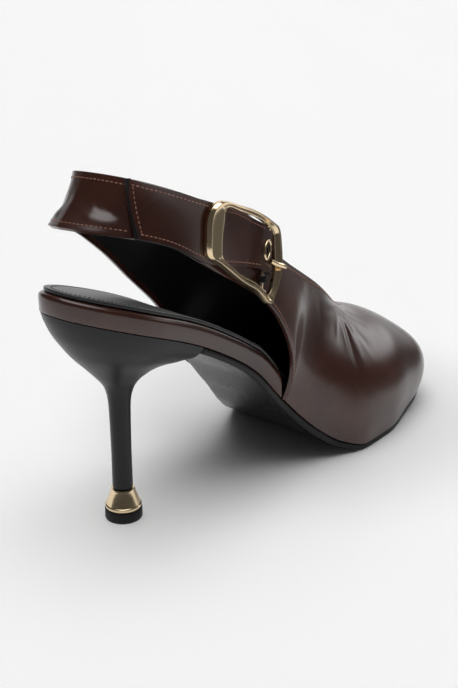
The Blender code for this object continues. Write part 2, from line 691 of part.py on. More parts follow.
def build_heel():
    seat = seat_ring(round_segments)
    angle = np.unwrap(np.arctan2(seat[:, 1], seat[:, 0]))
    top = off_board(seat[:, 0], seat[:, 1], -gap)
    rings = []
    floor_z = tip_height + gap
    for height, radius_mm, share in heel_sections:
        radius = radius_mm * MM
        circle = np.stack([radius * np.cos(angle), radius * np.sin(angle)], 1)
        xy = circle + share * (seat - circle)
        centre_z = off_board(np.zeros(1), np.zeros(1), -gap)[0, 2]
        z = floor_z + height * (centre_z - floor_z) + share ** 2 * (top[:, 2] - centre_z)
        rings.append(np.column_stack([xy, z]))
    plug = collar_top_radius - collar_wall - gap
    low = np.stack([plug * np.cos(angle), plug * np.sin(angle), 0 * angle + floor_z], 1)
    step_z = tip_height + 2 * gap + collar_height
    high = low + (0, 0, step_z - floor_z)
    rings = [low, high] + [ring for ring in rings if ring[0, 2] > step_z + MM]
    shaft = rings[2].copy()
    shaft[:, 2] = step_z
    rings.insert(2, shaft)
    heel = rings_solid("heel", rings, black_heel, 35)
    base = tip_height + gap
    collar = turned("heel_collar", [
        (collar_top_radius - collar_wall, base + collar_height),
        (collar_top_radius - collar_lip, base + collar_height),
        (collar_top_radius, base + collar_height - collar_lip),
        (collar_low_radius - collar_foot_step, base + collar_foot + collar_foot_run),
        (collar_low_radius, base + collar_foot),
        (collar_low_radius, base),
        (collar_top_radius - collar_wall, base),
    ], gold, round_segments)
    lift = turned("top_lift", [
        (0, tip_height), (tip_radius - tip_edge, tip_height), (tip_radius, tip_height - tip_edge),
        (tip_radius, tip_edge), (tip_radius - tip_edge, 0), (0, 0),
    ], black_rubber, round_segments)
    return heel, collar, lift


def build_upper():
    steps = 3
    rows = 10
    last = len(outer_ribs) - 1
    u = np.linspace(0, last, last * steps + 1)
    v = np.linspace(0, 1, rows + 1)
    verts, faces = [], []
    for half in (outer_side, inner_side):
        grid = half.points(u, v)
        foot = grid[:, 0]
        normal = half.normals(u, [0])[:, 0]
        drop = board_z(foot[:, 0] - wall * normal[:, 0]) - board_z(foot[:, 0]) + wall * normal[:, 2]
        lift = np.where(u <= len(half.stations) - 1, np.maximum(drop, 0) + 0.5 * gap, 0)
        grid[:, :, 2] += lift[:, None] * (1 - v[None, :]) ** 4
        base = len(verts)
        verts += [tuple(p) for p in grid.reshape(-1, 3)]
        for r in range(len(u) - 1):
            for c in range(rows):
                a = base + r * (rows + 1) + c
                b = a + rows + 1
                faces.append((a, b, b + 1, a + 1) if half.side < 0 else (a, a + 1, b + 1, b))
    upper = add_mesh("upper", verts, faces, brown_leather, 60)
    solid = upper.modifiers.new("wall", "SOLIDIFY")
    solid.thickness = wall
    solid.offset = -1
    solid.use_even_offset = True
    solid.use_quality_normals = True
    return upper


def rise_points(u, v, rise):
    # Points at single places (u, v) of the outer side, lifted off its surface by rise.
    u, v, rise = np.broadcast_arrays(np.asarray(u, float), np.asarray(v, float), np.asarray(rise, float))
    ribs, heights = u.ravel(), v.ravel()[:, None]
    made = outer_side.points(ribs, heights)[:, 0]
    made = made + rise.ravel()[:, None] * outer_side.normals(ribs, heights)[:, 0]
    return made.reshape(u.shape + (3,))


def bar_rib(v):
    # Rib of the centre bar at a height.
    share = (v - bar_low[1]) / (bar_top[1] - bar_low[1])
    return bar_low[0] + share * (bar_top[0] - bar_low[0])


bar_rise = gap + bar_clear + bar_radius


def strap_rise(u, v):
    # Height of the buckle strap's underside over the upper: raised beside the bar it folds over.
    away = np.abs(u - bar_rib(v))
    t = smooth((fold_reach - away) / (fold_reach - fold_flat))
    return gap + (bar_rise + bar_radius) * t


def fold_points(v, turn, radius):
    # Places round the bar at heights v, turned in degrees from its top towards the toe.
    at = rise_points(bar_rib(v), v, bar_rise)
    normal = unit(at - rise_points(bar_rib(v), v, 0))
    e = 0.01
    along = unit(rise_points(bar_rib(v) - e, v, 0) - rise_points(bar_rib(v) + e, v, 0))
    turn = np.radians(turn)[:, None, None]
    return at + radius * (np.sin(turn) * along + np.cos(turn) * normal)


def build_strap():
    along, across = 32, 5
    rows = np.array(strap_edges)
    s = np.linspace(0, 1, along + 1)
    low = steady(rows[:, 0], rows[:, 1], s)
    top = steady(rows[:, 0], rows[:, 2], s)
    v = low[:, None] + (top - low)[:, None] * np.linspace(0, 1, across + 1)[None, :]
    start = strap_start[0] + strap_start[1] * v
    u = start + (bar_rib(v) - start) * s[:, None]
    rise = strap_rise(u, v)
    turn = np.linspace(0, fold_turn, 5)[1:]
    inside = bar_radius + gap
    under = np.concatenate([rise_points(u, v, rise), fold_points(v[-1], turn, inside)])
    over = np.concatenate([rise_points(u, v, rise + strap_wall), fold_points(v[-1], turn, inside + strap_wall)])
    strap = slab("buckle_strap", under, over, brown_leather)
    cutter = oval_rod("hole_cutter", hole_at, hole_half, 0, hole_depth)
    cut = strap.modifiers.new("hole", "BOOLEAN")
    cut.operation = "DIFFERENCE"
    cut.solver = "EXACT"
    cut.object = cutter
    return strap


def local_axes(place):
    # Point, direction along the strap, direction up the strap and normal at (rib, height).
    e = 0.01
    at = rise_points(place[0], place[1], 0)
    along = unit(rise_points(place[0] - e, place[1], 0) - rise_points(place[0] + e, place[1], 0))
    normal = outer_side.normals(place[0], [place[1]])[0, 0]
    upward = unit(np.cross(normal, along))
    if upward[2] < 0:
        upward = -upward
    return at, along, upward, normal


def oval_rod(name, place, half, low, high):
    # An elliptic rod square to the upper, used to cut the strap's hole.
    at, along, upward, normal = local_axes(place)
    turn = np.arange(24) / 24 * 2 * math.pi
    ring = at + np.outer(np.cos(turn) * half[0], along) + np.outer(np.sin(turn) * half[1], upward)
    rod = rings_solid(name, [ring + low * normal, ring + high * normal], brown_leather)
    shoe.objects.unlink(rod)
    cutters.objects.link(rod)
    rod.hide_render = True
    rod.display_type = "WIRE"
    return rod


def closed_curve(points, count):
    # Smooth closed curve through the points, resampled evenly.
    pts = np.array(points)
    padded = np.concatenate([pts[-4:], pts, pts[:5]])
    run = run_of(padded)
    fine = spline(run, padded, np.linspace(run[4], run[4 + len(pts)], 40 * len(pts) + 1))
    length = run_of(fine)
    at = np.arange(count) / count * length[-1]
    return np.stack([np.interp(at, length, fine[:, k]) for k in range(pts.shape[1])], 1)


def build_frame():
    rows = np.array(frame_edges)
    base = 2 * gap + strap_wall
    outer = rise_points(rows[:, 0], rows[:, 1], base)
    inner = rise_points(rows[:, 2], rows[:, 3], base)
    both = closed_curve(np.concatenate([outer, inner], 1), frame_steps)
    outer, inner = both[:, :3], both[:, 3:]
    forward = np.roll(outer, -1, 0) - np.roll(outer, 1, 0)
    normal = unit(np.cross(forward, inner - outer))
    if normal[:, 1].sum() > 0:
        normal = -normal
    normal = unit(sum(np.roll(normal, k, 0) for k in range(-frame_fair, frame_fair + 1)))
    verts, faces = [], []
    for across, height in frame_section:
        ring = outer + across * (inner - outer) + height * frame_thick * normal
        verts += [tuple(p) for p in ring]
    count, deep = len(outer), len(frame_section)
    for k in range(deep):
        for i in range(count):
            j = (i + 1) % count
            m = (k + 1) % deep
            faces.append((k * count + i, k * count + j, m * count + j, m * count + i))
    frame = add_mesh("buckle_frame", verts, faces, gold, 30)
    heights = np.array([bar_low[1], *bar_heights, bar_top[1]])
    post = np.clip((np.abs(heights - bar_middle) - bar_half[0]) / (bar_half[1] - bar_half[0]), 0, 1)
    radius = bar_radius + (bar_post - bar_radius) * post
    rise = bar_rise + (bar_post - bar_radius + bar_post_lift) * post
    bar = rod_through("centre_bar", bar_rib(heights), heights, rise, radius, 10)
    join = frame.modifiers.new("centre_bar", "BOOLEAN")
    join.operation = "UNION"
    join.solver = "EXACT"
    join.object = bar
    shoe.objects.unlink(bar)
    cutters.objects.link(bar)
    bar.hide_render = True
    bar.display_type = "WIRE"
    return frame


def rod_through(name, u, v, rise, radius, sides, arc=(0, 360), hollow=0):
    # A rod along places of the outer side. With an arc and a hollow it is a half shell.
    centre = rise_points(u, v, rise)
    forward = unit(np.gradient(centre, axis=0))
    normal = outer_side.normals(u, v[:, None])[:, 0]
    aside = unit(np.cross(forward, normal))
    over = unit(np.cross(aside, forward))
    full = arc[1] - arc[0] >= 360
    turn = np.radians(np.linspace(arc[0], arc[1], sides, endpoint=not full))
    rings = []
    for k in range(len(centre)):
        spread = np.outer(np.cos(turn), aside[k]) + np.outer(np.sin(turn), over[k])
        ring = centre[k] + radius[k] * spread
        if hollow:
            ring = np.concatenate([ring, (centre[k] + (radius[k] - hollow) * spread)[::-1]])
        rings.append(ring)
    return rings_solid(name, rings, gold, 40)


def build_buckle_parts():
    path = np.array(prong_path)
    places = spline(np.arange(len(path)), path, np.linspace(0, len(path) - 1, 12))
    prong = rod_through("buckle_prong", places[:, 0], places[:, 1], places[:, 2] * MM, places[:, 3] * MM, 10)
    at, along, upward, normal = local_axes(hole_at)
    ring_rise = bar_rise + bar_radius + 2 * gap + strap_wall + eyelet_wire
    turn = np.arange(24) / 24 * 2 * math.pi
    spot = np.arange(8) / 8 * 2 * math.pi
    half_w = hole_half[0] + eyelet_wire
    half_h = hole_half[1] + eyelet_wire
    verts, faces = [], []
    for a in turn:
        centre = at + ring_rise * normal + half_w * math.cos(a) * along + half_h * math.sin(a) * upward
        out = unit(half_h * math.cos(a) * along + half_w * math.sin(a) * upward)
        for b in spot:
            verts.append(tuple(centre + eyelet_wire * (math.cos(b) * out + math.sin(b) * normal)))
    for i in range(len(turn)):
        for k in range(len(spot)):
            j, m = (i + 1) % len(turn), (k + 1) % len(spot)
            n = len(spot)
            faces.append((i * n + k, j * n + k, j * n + m, i * n + m))
    eyelet = add_mesh("strap_eyelet", verts, faces, gold, 60)
    heights = np.linspace(*loop_range, 4)
    radius = np.full(4, bar_radius + gap + loop_wall)
    loop = rod_through("buckle_loop", bar_rib(heights), heights, np.full(4, bar_rise), radius, 9,
                       (0, 180), loop_wall)
    loop.data.materials.clear()
    loop.data.materials.append(black_gloss)
    return prong, eyelet, loop


clear_scene()
shoe = bpy.data.collections.new("slingback_pump")
cutters = bpy.data.collections.new("cutters")
bpy.context.scene.collection.children.link(shoe)
bpy.context.scene.collection.children.link(cutters)
brown_leather = material("brown_leather", (0.045, 0.018, 0.012), 0.0, 0.28)
black_lining = material("black_lining", (0.012, 0.012, 0.014), 0.0, 0.45)
black_sole = material("black_sole", (0.010, 0.010, 0.011), 0.0, 0.40)
black_heel = material("black_heel", (0.012, 0.013, 0.015), 0.0, 0.40)
black_rubber = material("black_rubber", (0.008, 0.008, 0.009), 0.0, 0.60)
black_gloss = material("black_gloss", (0.008, 0.008, 0.009), 0.0, 0.10)
gold = material("gold", (0.78, 0.62, 0.38), 1.0, 0.15)
build_bottom()
build_heel()
build_upper()
build_strap()
build_frame()
build_buckle_parts()
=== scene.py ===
import math

import bmesh
import bpy
import numpy as np
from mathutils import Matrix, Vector


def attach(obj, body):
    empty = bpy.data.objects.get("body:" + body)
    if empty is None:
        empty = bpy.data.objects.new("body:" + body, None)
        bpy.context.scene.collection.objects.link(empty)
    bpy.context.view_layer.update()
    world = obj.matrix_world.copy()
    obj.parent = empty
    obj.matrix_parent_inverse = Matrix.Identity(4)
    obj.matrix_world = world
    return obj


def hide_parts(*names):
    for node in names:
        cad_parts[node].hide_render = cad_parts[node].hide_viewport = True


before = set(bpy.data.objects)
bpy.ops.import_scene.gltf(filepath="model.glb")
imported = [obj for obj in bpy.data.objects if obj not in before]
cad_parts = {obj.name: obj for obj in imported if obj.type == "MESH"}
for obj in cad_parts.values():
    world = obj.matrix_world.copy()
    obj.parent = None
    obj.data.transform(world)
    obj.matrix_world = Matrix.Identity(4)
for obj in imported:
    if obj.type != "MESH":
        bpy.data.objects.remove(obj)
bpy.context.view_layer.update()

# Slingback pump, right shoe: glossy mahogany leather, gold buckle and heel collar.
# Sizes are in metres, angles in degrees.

mm = 0.001

last = {
    "length": 213.0 * mm,       # heel back to toe tip
    "heelBack": -31.0 * mm,     # x of the heel back
    "seatHeight": 89.0 * mm,
    "treadHeight": 2.6 * mm,
    "ballHalf": 36.0 * mm,
    "ankleHalf": 30.0 * mm,
    "strapHeight": 131.0 * mm,
    "heelRound": 0.155,
    "toeRound": 0.135,
    "toeSquare": 2.2,
    "toeFullness": 1.95,
    "easeReach": 3.0,           # ribs on each side of a guide curve's corner that are eased
    "easeWindow": 1.3,
    "edgeShare": 0.30,          # share of the height over which the true edge comes back
    "fairMiddle": 8.0,          # rib round which neighbouring sections are averaged
    "fairReach": 6.5,
    "fairWindow": 2.2,
    "gridColumns": 20,          # a rib
    "gridRows": 60,
}
gap = 0.3 * mm

# Underside of the insole board: place along the shoe, drop as a share of the heel seat's height
sideProfile = (
    (0.000, 0.985),
    (0.090, 0.905),
    (0.195, 0.800),
    (0.285, 0.682),
    (0.372, 0.535),
    (0.443, 0.345),
    (0.516, 0.158),
    (0.578, 0.046),
    (0.636, 0.000),
    (0.710, 0.000),
    (0.790, 0.010),
    (0.890, 0.040),
    (1.000, 0.085),
)

# Plan of the last's bottom in shares of ballHalf: place, middle line, outer side, inner side
planWidths = (
    (0.00, -0.055, 0.62, 0.56),
    (0.12, -0.055, 0.64, 0.56),
    (0.26, -0.040, 0.64, 0.51),
    (0.35, -0.020, 0.645, 0.44),
    (0.44, 0.000, 0.69, 0.48),
    (0.54, 0.000, 0.865, 0.70),
    (0.64, 0.000, 1.04, 0.94),
    (0.72, 0.000, 1.025, 1.00),
    (0.81, 0.000, 0.905, 0.945),
    (0.90, 0.000, 0.765, 0.84),
    (0.96, 0.000, 0.585, 0.73),
    (1.00, 0.000, 0.43, 0.62),
)

# Ribs of the upper's halves, from the toe to the back of the sling. Each ends with its upper end as
# shares of length, ankleHalf and strapHeight, then stand, close and belly. It starts with its
# station on the sole's outline, or behind that with its lower end in the same shares.
toeRibs = (
    (0.000, 0.946, 0.000, 0.205, 1.00, 1.00, 0.55),
    (0.045, 0.941, 0.000, 0.211, 1.00, 1.00, 0.55),
    (0.095, 0.921, 0.000, 0.240, 1.00, 1.00, 0.48),
    (0.165, 0.885, 0.000, 0.286, 1.00, 1.00, 0.38),
    (0.245, 0.844, 0.000, 0.326, 1.00, 1.00, 0.26),
    (0.330, 0.806, 0.000, 0.351, 1.00, 1.00, 0.18),
)
outerRibs = toeRibs + (
    (0.410, 0.768, 0.000, 0.361, 1.00, 1.00, 0.14),
    (0.470, 0.718, 0.170, 0.408, 0.85, 0.65, 0.10),
    (0.525, 0.667, 0.327, 0.460, 0.70, 0.50, 0.12),
    (0.560, 0.615, 0.434, 0.517, 0.55, 0.40, 0.10),
    (0.445, 0.955, 0.328, 0.563, 0.532, 0.568, 0.38, 0.25, 0.14),
    (0.438, 0.972, 0.408, 0.510, 0.620, 0.618, 0.20, 0.10, 0.20),
    (0.408, 0.972, 0.513, 0.451, 0.719, 0.675, 0.06, 0.00, 0.20),
    (0.347, 0.972, 0.619, 0.392, 0.815, 0.737, 0.00, 0.00, 0.16),
    (0.278, 0.987, 0.691, 0.331, 0.899, 0.807, 0.00, 0.00, 0.08),
    (0.208, 0.973, 0.763, 0.247, 0.936, 0.897, 0.00, 0.00, 0.00),
    (0.153, 0.877, 0.824, 0.181, 0.833, 0.950, 0.00, 0.00, -0.12),
    (0.096, 0.700, 0.859, 0.127, 0.633, 0.985, 0.00, 0.00, -0.26),
    (0.050, 0.400, 0.878, 0.099, 0.333, 1.000, 0.00, 0.00, -0.32),
    (0.034, 0.000, 0.880, 0.091, 0.000, 1.000, 0.00, 0.00, -0.34),
)
innerRibs = toeRibs + (
    (0.415, 0.768, 0.000, 0.361, 1.00, 1.00, 0.14),
    (0.475, 0.708, 0.215, 0.413, 0.85, 0.65, 0.10),
    (0.535, 0.644, 0.400, 0.467, 0.70, 0.50, 0.12),
    (0.575, 0.595, 0.500, 0.517, 0.55, 0.40, 0.10),
    (0.416, 0.945, 0.324, 0.553, 0.580, 0.553, 0.38, 0.25, 0.14),
    (0.398, 0.955, 0.408, 0.497, 0.680, 0.605, 0.20, 0.10, 0.20),
    (0.359, 0.935, 0.500, 0.427, 0.770, 0.670, 0.06, 0.00, 0.20),
    (0.297, 0.920, 0.599, 0.341, 0.840, 0.718, 0.00, 0.00, 0.14),
    (0.247, 0.905, 0.682, 0.286, 0.855, 0.802, 0.00, 0.00, 0.08),
    (0.195, 0.840, 0.752, 0.228, 0.795, 0.874, 0.00, 0.00, 0.00),
    (0.149, 0.717, 0.802, 0.175, 0.650, 0.926, 0.00, 0.00, -0.12),
    (0.096, 0.533, 0.842, 0.131, 0.467, 0.966, 0.00, 0.00, -0.26),
    (0.048, 0.267, 0.869, 0.101, 0.233, 0.991, 0.00, 0.00, -0.32),
    (0.034, 0.000, 0.880, 0.091, 0.000, 1.000, 0.00, 0.00, -0.34),
)


def spline(knots, values, at):
    # natural cubic spline, one row of values a knot
    knots = np.asarray(knots, float)
    values = np.asarray(values, float)
    flat = values.reshape(len(knots), -1)
    at = np.atleast_1d(np.asarray(at, float))
    step = np.diff(knots)
    n = len(knots)
    system = np.eye(n)
    right = np.zeros((n, flat.shape[1]))
    for i in range(1, n - 1):
        system[i, i - 1] = step[i - 1]
        system[i, i] = 2 * (step[i - 1] + step[i])
        system[i, i + 1] = step[i]
        after, before = (flat[i + 1] - flat[i]) / step[i], (flat[i] - flat[i - 1]) / step[i - 1]
        right[i] = 6 * (after - before)
    bend = np.linalg.solve(system, right)
    k = np.clip(np.searchsorted(knots, at, side="right") - 1, 0, n - 2)
    h = step[k][:, None]
    a = (knots[k + 1][:, None] - at[:, None]) / h
    b = 1 - a
    made = a * flat[k] + b * flat[k + 1]
    made += ((a ** 3 - a) * bend[k] + (b ** 3 - b) * bend[k + 1]) * h ** 2 / 6
    return made.reshape((len(at),) + values.shape[1:])


def steady(knots, values, at):
    # cubic curve that doesn't overshoot
    knots = np.asarray(knots, float)
    values = np.asarray(values, float)
    at = np.atleast_1d(np.asarray(at, float))
    step = np.diff(knots)
    slope = np.diff(values) / step
    tangent = np.zeros(len(knots))
    tangent[0], tangent[-1] = slope[0], slope[-1]
    for i in range(1, len(knots) - 1):
        if slope[i - 1] * slope[i] > 0:
            w1 = 2 * step[i] + step[i - 1]
            w2 = step[i] + 2 * step[i - 1]
            tangent[i] = (w1 + w2) / (w1 / slope[i - 1] + w2 / slope[i])
    k = np.clip(np.searchsorted(knots, at, side="right") - 1, 0, len(knots) - 2)
    h = step[k]
    t = (at - knots[k]) / h
    return ((2 * t ** 3 - 3 * t ** 2 + 1) * values[k] + (t ** 3 - 2 * t ** 2 + t) * h * tangent[k]
            + (3 * t ** 2 - 2 * t ** 3) * values[k + 1] + (t ** 3 - t ** 2) * h * tangent[k + 1])


def unit(v):
    return v / np.maximum(np.linalg.norm(v, axis=-1, keepdims=True), 1e-12)


def smooth(t):
    t = np.clip(t, 0, 1)
    return t * t * (3 - 2 * t)


def runOf(points):
    # distance along a row of points
    return np.concatenate([[0], np.cumsum(np.linalg.norm(np.diff(points, axis=0), axis=1))])


def eased(curve, middle, reach, window, at):
    # the curve eased by a moving average that fades out away from the middle
    width = window * smooth(1 - np.abs(at - middle) / reach)
    places = np.linspace(-0.9, 0.9, 13)
    weights = 1 + np.cos(math.pi * places)
    return sum(w * curve(at + p * width) for p, w in zip(places, weights)) / weights.sum()


profileRows = np.array(sideProfile)
widthRows = np.array(planWidths)


def shareOf(x):
    return (np.atleast_1d(x) - last["heelBack"]) / last["length"]


def boardZ(x):
    share = np.clip(shareOf(x), 0, 1)
    drop = steady(profileRows[:, 0], profileRows[:, 1], share.ravel()).reshape(share.shape)
    return last["treadHeight"] + drop * (last["seatHeight"] - last["treadHeight"])


def boardSlope(x):
    e = 0.5 * mm
    return (boardZ(x + e) - boardZ(x - e)) / (2 * e)


def offBoard(x, y, rise):
    return np.stack([x, y, boardZ(x) + rise * np.sqrt(1 + boardSlope(x) ** 2)], -1)


def edgeY(x, side, inset):
    # the bottom's edge at x, on side -1 (outer) or +1 (inner), moved inwards by inset
    share = shareOf(x)
    trim = inset / last["length"]
    middle, width = [steady(widthRows[:, 0], widthRows[:, column], np.clip(share, 0, 1)) * last["ballHalf"]
                     for column in (1, 2 if side < 0 else 3)]
    back = np.clip((last["heelRound"] + trim - share) / last["heelRound"], 0, 1)
    front = np.clip((share - 1 + last["toeRound"] + trim) / last["toeRound"], 0, 1)
    ends = np.sqrt(1 - back ** 2) * (1 - front ** last["toeSquare"]) ** (1 / last["toeSquare"])
    return middle + side * (width - inset) * ends


def outlineOf(side):
    turn = np.linspace(0, math.pi, 400)
    x = last["heelBack"] + last["length"] * (1 + np.cos(turn)) / 2
    return np.stack([x, edgeY(x, side, 0)], 1)


onSoleColumns = len(toeRibs[0])


class UpperHalf:
    # One side of the upper's outer surface. u counts the ribs from the toe tip, v runs from the
    # lower edge to the upper edge.

    def __init__(self, table, side):
        self.side = side
        self.outline = outlineOf(side)
        self.run = runOf(self.outline)
        low, top, shape = [], [], []
        for row in table:
            onSole = len(row) == onSoleColumns
            low.append(self.onOutline(row[:1])[0] if onSole else self.place(*row[:3]))
            top.append(self.place(*row[-6:-3]))
            shape.append(row[-3:])
        self.low, self.top, self.shape = np.array(low), np.array(top), np.array(shape)
        self.ribs = np.arange(len(table), dtype=float)
        self.stations = [row[0] for row in table if len(row) == onSoleColumns]
        self.ridgeEnd = int(np.max(np.where(np.abs(self.top[:-1, 1]) < 1e-9)[0]))
        self.makeGrid()

    def place(self, x, y, z):
        return [last["heelBack"] + x * last["length"], self.side * y * last["ankleHalf"],
                z * last["strapHeight"]]

    def onOutline(self, shares):
        at = np.asarray(shares) * self.run[-1]
        x = np.interp(at, self.run, self.outline[:, 0])
        y = np.interp(at, self.run, self.outline[:, 1])
        return np.stack([x, y, boardZ(x)], 1)

    def curve(self, rows, first, u):
        knots = runOf(rows)
        return spline(knots, rows, steady(self.ribs[first:first + len(rows)], knots, u))

    def lower(self, u):
        k = len(self.stations) - 1
        made = np.empty((len(u), 3))
        onSole = u <= k
        made[onSole] = self.onOutline(steady(self.ribs[:k + 1], self.stations, u[onSole]))
        made[~onSole] = self.curve(self.low[k:], k, u[~onSole])
        return made

    def upper(self, u):
        k = self.ridgeEnd
        made = np.empty((len(u), 3))
        ridge = u <= k
        made[ridge] = self.curve(self.top[:k + 1], 0, u[ridge])
        made[~ridge] = self.curve(self.top[k:], k, u[~ridge])
        return made

    def easedLower(self, u):
        return eased(self.lower, len(self.stations) - 1, last["easeReach"], last["easeWindow"], u)

    def easedUpper(self, u):
        return eased(self.upper, self.ridgeEnd, last["easeReach"], last["easeWindow"], u)

    def stepOf(self, curve, u, e=1e-3):
        # a short step along the curve
        end = self.ribs[-1]
        return curve(np.clip(u + e, 0, end)) - curve(np.clip(u - e, 0, end))

    def outward(self, u):
        along = self.stepOf(self.easedLower, u)
        out = unit(np.stack([along[:, 1], -along[:, 0], 0 * along[:, 0]], 1) * self.side)
        out[:, 1] *= smooth(np.minimum(u, self.ribs[-1] - u))
        return unit(out)

    def makeGrid(self):
        # the surface on a fine grid of ribs and heights, with its outward normals
        self.gridU = np.linspace(0, self.ribs[-1], len(self.ribs[1:]) * last["gridColumns"] + 1)
        self.gridV = np.linspace(0, 1, last["gridRows"] + 1)
        t = self.gridV[None, :, None] + 0 * self.gridU[:, None, None]
        made = self.section(self.gridU, t)
        columns = made.reshape(len(self.gridU), -1)
        smoothed = lambda at: np.stack([np.interp(at, self.gridU, column) for column in columns.T], 1)
        fair = eased(smoothed, last["fairMiddle"], last["fairReach"], last["fairWindow"], self.gridU)
        inner = smooth(np.minimum(t, 1 - t) / last["edgeShare"])
        self.grid = made + inner * (fair.reshape(made.shape) - made)
        du = np.gradient(self.grid, axis=0, edge_order=2)
        dv = np.gradient(self.grid, axis=1, edge_order=2)
        self.gridNormal = unit(np.cross(du, dv)) * self.side

    def read(self, rows, u, v):
        # the grid's rows at ribs u and at heights v: one row of heights for all or one for each rib
        u = np.atleast_1d(np.asarray(u, float))[:, None]
        v = np.asarray(v, float)
        u, v = np.broadcast_arrays(u, v if v.ndim > 1 else v[None, :])
        x = np.clip(u / self.ribs[-1], 0, 1) * (len(self.gridU) - 1)
        y = np.clip(v, 0, 1) * (len(self.gridV) - 1)
        i = np.minimum(x.astype(int), len(self.gridU) - 2)
        j = np.minimum(y.astype(int), len(self.gridV) - 2)
        x, y = (x - i)[..., None], (y - j)[..., None]
        return ((1 - x) * (1 - y) * rows[i, j] + x * (1 - y) * rows[i + 1, j]
                + (1 - x) * y * rows[i, j + 1] + x * y * rows[i + 1, j + 1])

    def points(self, u, v):
        # heights below 0 or over 1 carry on along the surface
        made = self.read(self.grid, u, v)
        beyond = np.asarray(v, float) - np.clip(v, 0, 1)
        if np.any(beyond):
            e = 1 / last["gridRows"]
            inside = np.where(np.asarray(v, float) > 0.5, 1 - e, e)
            step = self.read(self.grid, u, np.clip(v, 0, 1)) - self.read(self.grid, u, inside)
            made = made + step * (np.abs(beyond) / e * np.ones(made.shape[:2]))[..., None]
        return made

    def normals(self, u, v):
        return unit(self.read(self.gridNormal, u, v))

    def section(self, u, t):
        # cubic sections from the lower to the upper edge: stand is how upright they start, close how
        # level they end, belly how far they swell outwards
        a, b = self.easedLower(u), self.easedUpper(u)
        stand, close, belly = [steady(self.ribs, self.shape[:, c], u)[:, None] for c in range(3)]
        out = self.outward(u)
        reach = np.linalg.norm(b - a, axis=1, keepdims=True)
        d = (b - a) / reach
        ridge = self.stepOf(self.easedUpper, u)
        climb = ridge[:, 2] / np.minimum(ridge[:, 0], -1e-9)
        flat = (b - a) * (1, 1, 0)
        over = unit(flat)
        over[:, 2] = np.clip(climb * over[:, 0], -1, 1)
        up = np.array([0, 0, 1.0]) + belly * out
        full = last["toeFullness"]
        start = stand * full * (b - a)[:, 2:3] * up + (1 - stand) * reach * unit(d + belly * out)
        plan = np.linalg.norm(flat, axis=1, keepdims=True)
        finish = close * full * plan * over + (1 - close) * reach * unit(d - belly * out)
        h1, h2 = 2 * t ** 3 - 3 * t ** 2 + 1, t ** 3 - 2 * t ** 2 + t
        h3, h4 = 3 * t ** 2 - 2 * t ** 3, t ** 3 - t ** 2
        made = h1 * a[:, None] + h2 * start[:, None] + h3 * b[:, None] + h4 * finish[:, None]
        made += smooth(1 - t / last["edgeShare"]) * (self.lower(u) - a)[:, None]
        made += smooth(1 - (1 - t) / last["edgeShare"]) * (self.upper(u) - b)[:, None]
        return made


outerHalf = UpperHalf(outerRibs, -1)
innerHalf = UpperHalf(innerRibs, 1)


def riseAt(u, v, rise, half=outerHalf):
    # points over the upper at single places (u, v), with the normals there
    u, v, rise = np.broadcast_arrays(*[np.asarray(given, float) for given in (u, v, rise)])
    flatU, flatV = u.ravel(), v.ravel()[:, None]
    normal = half.normals(flatU, flatV)[:, 0]
    made = half.points(flatU, flatV)[:, 0] + rise.ravel()[:, None] * normal
    return made.reshape(u.shape + (3,)), normal.reshape(u.shape + (3,))


def heightFrom(half, u, distance, top):
    # height v at a distance from the lower or the upper edge, for each rib place
    v = np.linspace(0, 0.45, 120)     # looks no further than about half the height
    if top:
        v = 1 - v
    grid = half.points(u, v)
    step = np.linalg.norm(np.diff(grid, axis=1), axis=2)
    run = np.concatenate([np.zeros((len(u), 1)), np.cumsum(step, axis=1)], 1)
    return np.array([np.interp(distance, run[k], v) for k in range(len(u))])


def addPiece(name, verts, faces, mats, node=None, slot=None, sharp=40, faceMat=None, weld=0.004 * mm):
    # a mesh piece that rides on the shoe and stands for its CAD node
    bm = bmesh.new()
    made = [bm.verts.new(v) for v in verts]
    for k, face in enumerate(faces):
        corners = list(dict.fromkeys(made[i] for i in face))
        if len(corners) > 2:
            f = bm.faces.new(corners)
            f.material_index = faceMat[k] if faceMat is not None else 0
    bmesh.ops.remove_doubles(bm, verts=bm.verts, dist=weld)
    bmesh.ops.recalc_face_normals(bm, faces=bm.faces)
    mesh = bpy.data.meshes.new(name)
    bm.to_mesh(mesh)
    bm.free()
    for mat in mats:
        mesh.materials.append(mat)
    mesh.shade_smooth()
    mesh.set_sharp_from_angle(angle=math.radians(sharp))
    ob = bpy.data.objects.new(name, mesh)
    bpy.context.scene.collection.objects.link(ob)
    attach(ob, "root")
    if node:
        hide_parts(node)
    return ob


def roundEdges(ob, width, angle, segments=3):
    edge = ob.modifiers.new("edge", "BEVEL")
    edge.width = width
    edge.segments = segments
    edge.limit_method = "ANGLE"
    edge.angle_limit = math.radians(angle)


def gridFaces(rows, cols, base=0, flip=False, loop=False):
    faces = []
    for r in range(rows - 1):
        for c in range(cols if loop else cols - 1):
            d = (c + 1) % cols
            a, b = base + r * cols + c, base + r * cols + d
            e, f = a + cols, b + cols
            faces.append((a, e, f, b) if flip else (a, b, f, e))
    return faces


# Materials
def setInputs(tree, node, values):
    # a number or colour is set, a socket of another node is linked
    for key, value in values.items():
        if isinstance(value, bpy.types.NodeSocket):
            tree.links.new(value, node.inputs[key])
        else:
            node.inputs[key].default_value = value


def addNode(tree, kind, values=None, **settings):
    node = tree.nodes.new(kind)
    for key, value in settings.items():
        setattr(node, key, value)
    setInputs(tree, node, values or {})
    return node


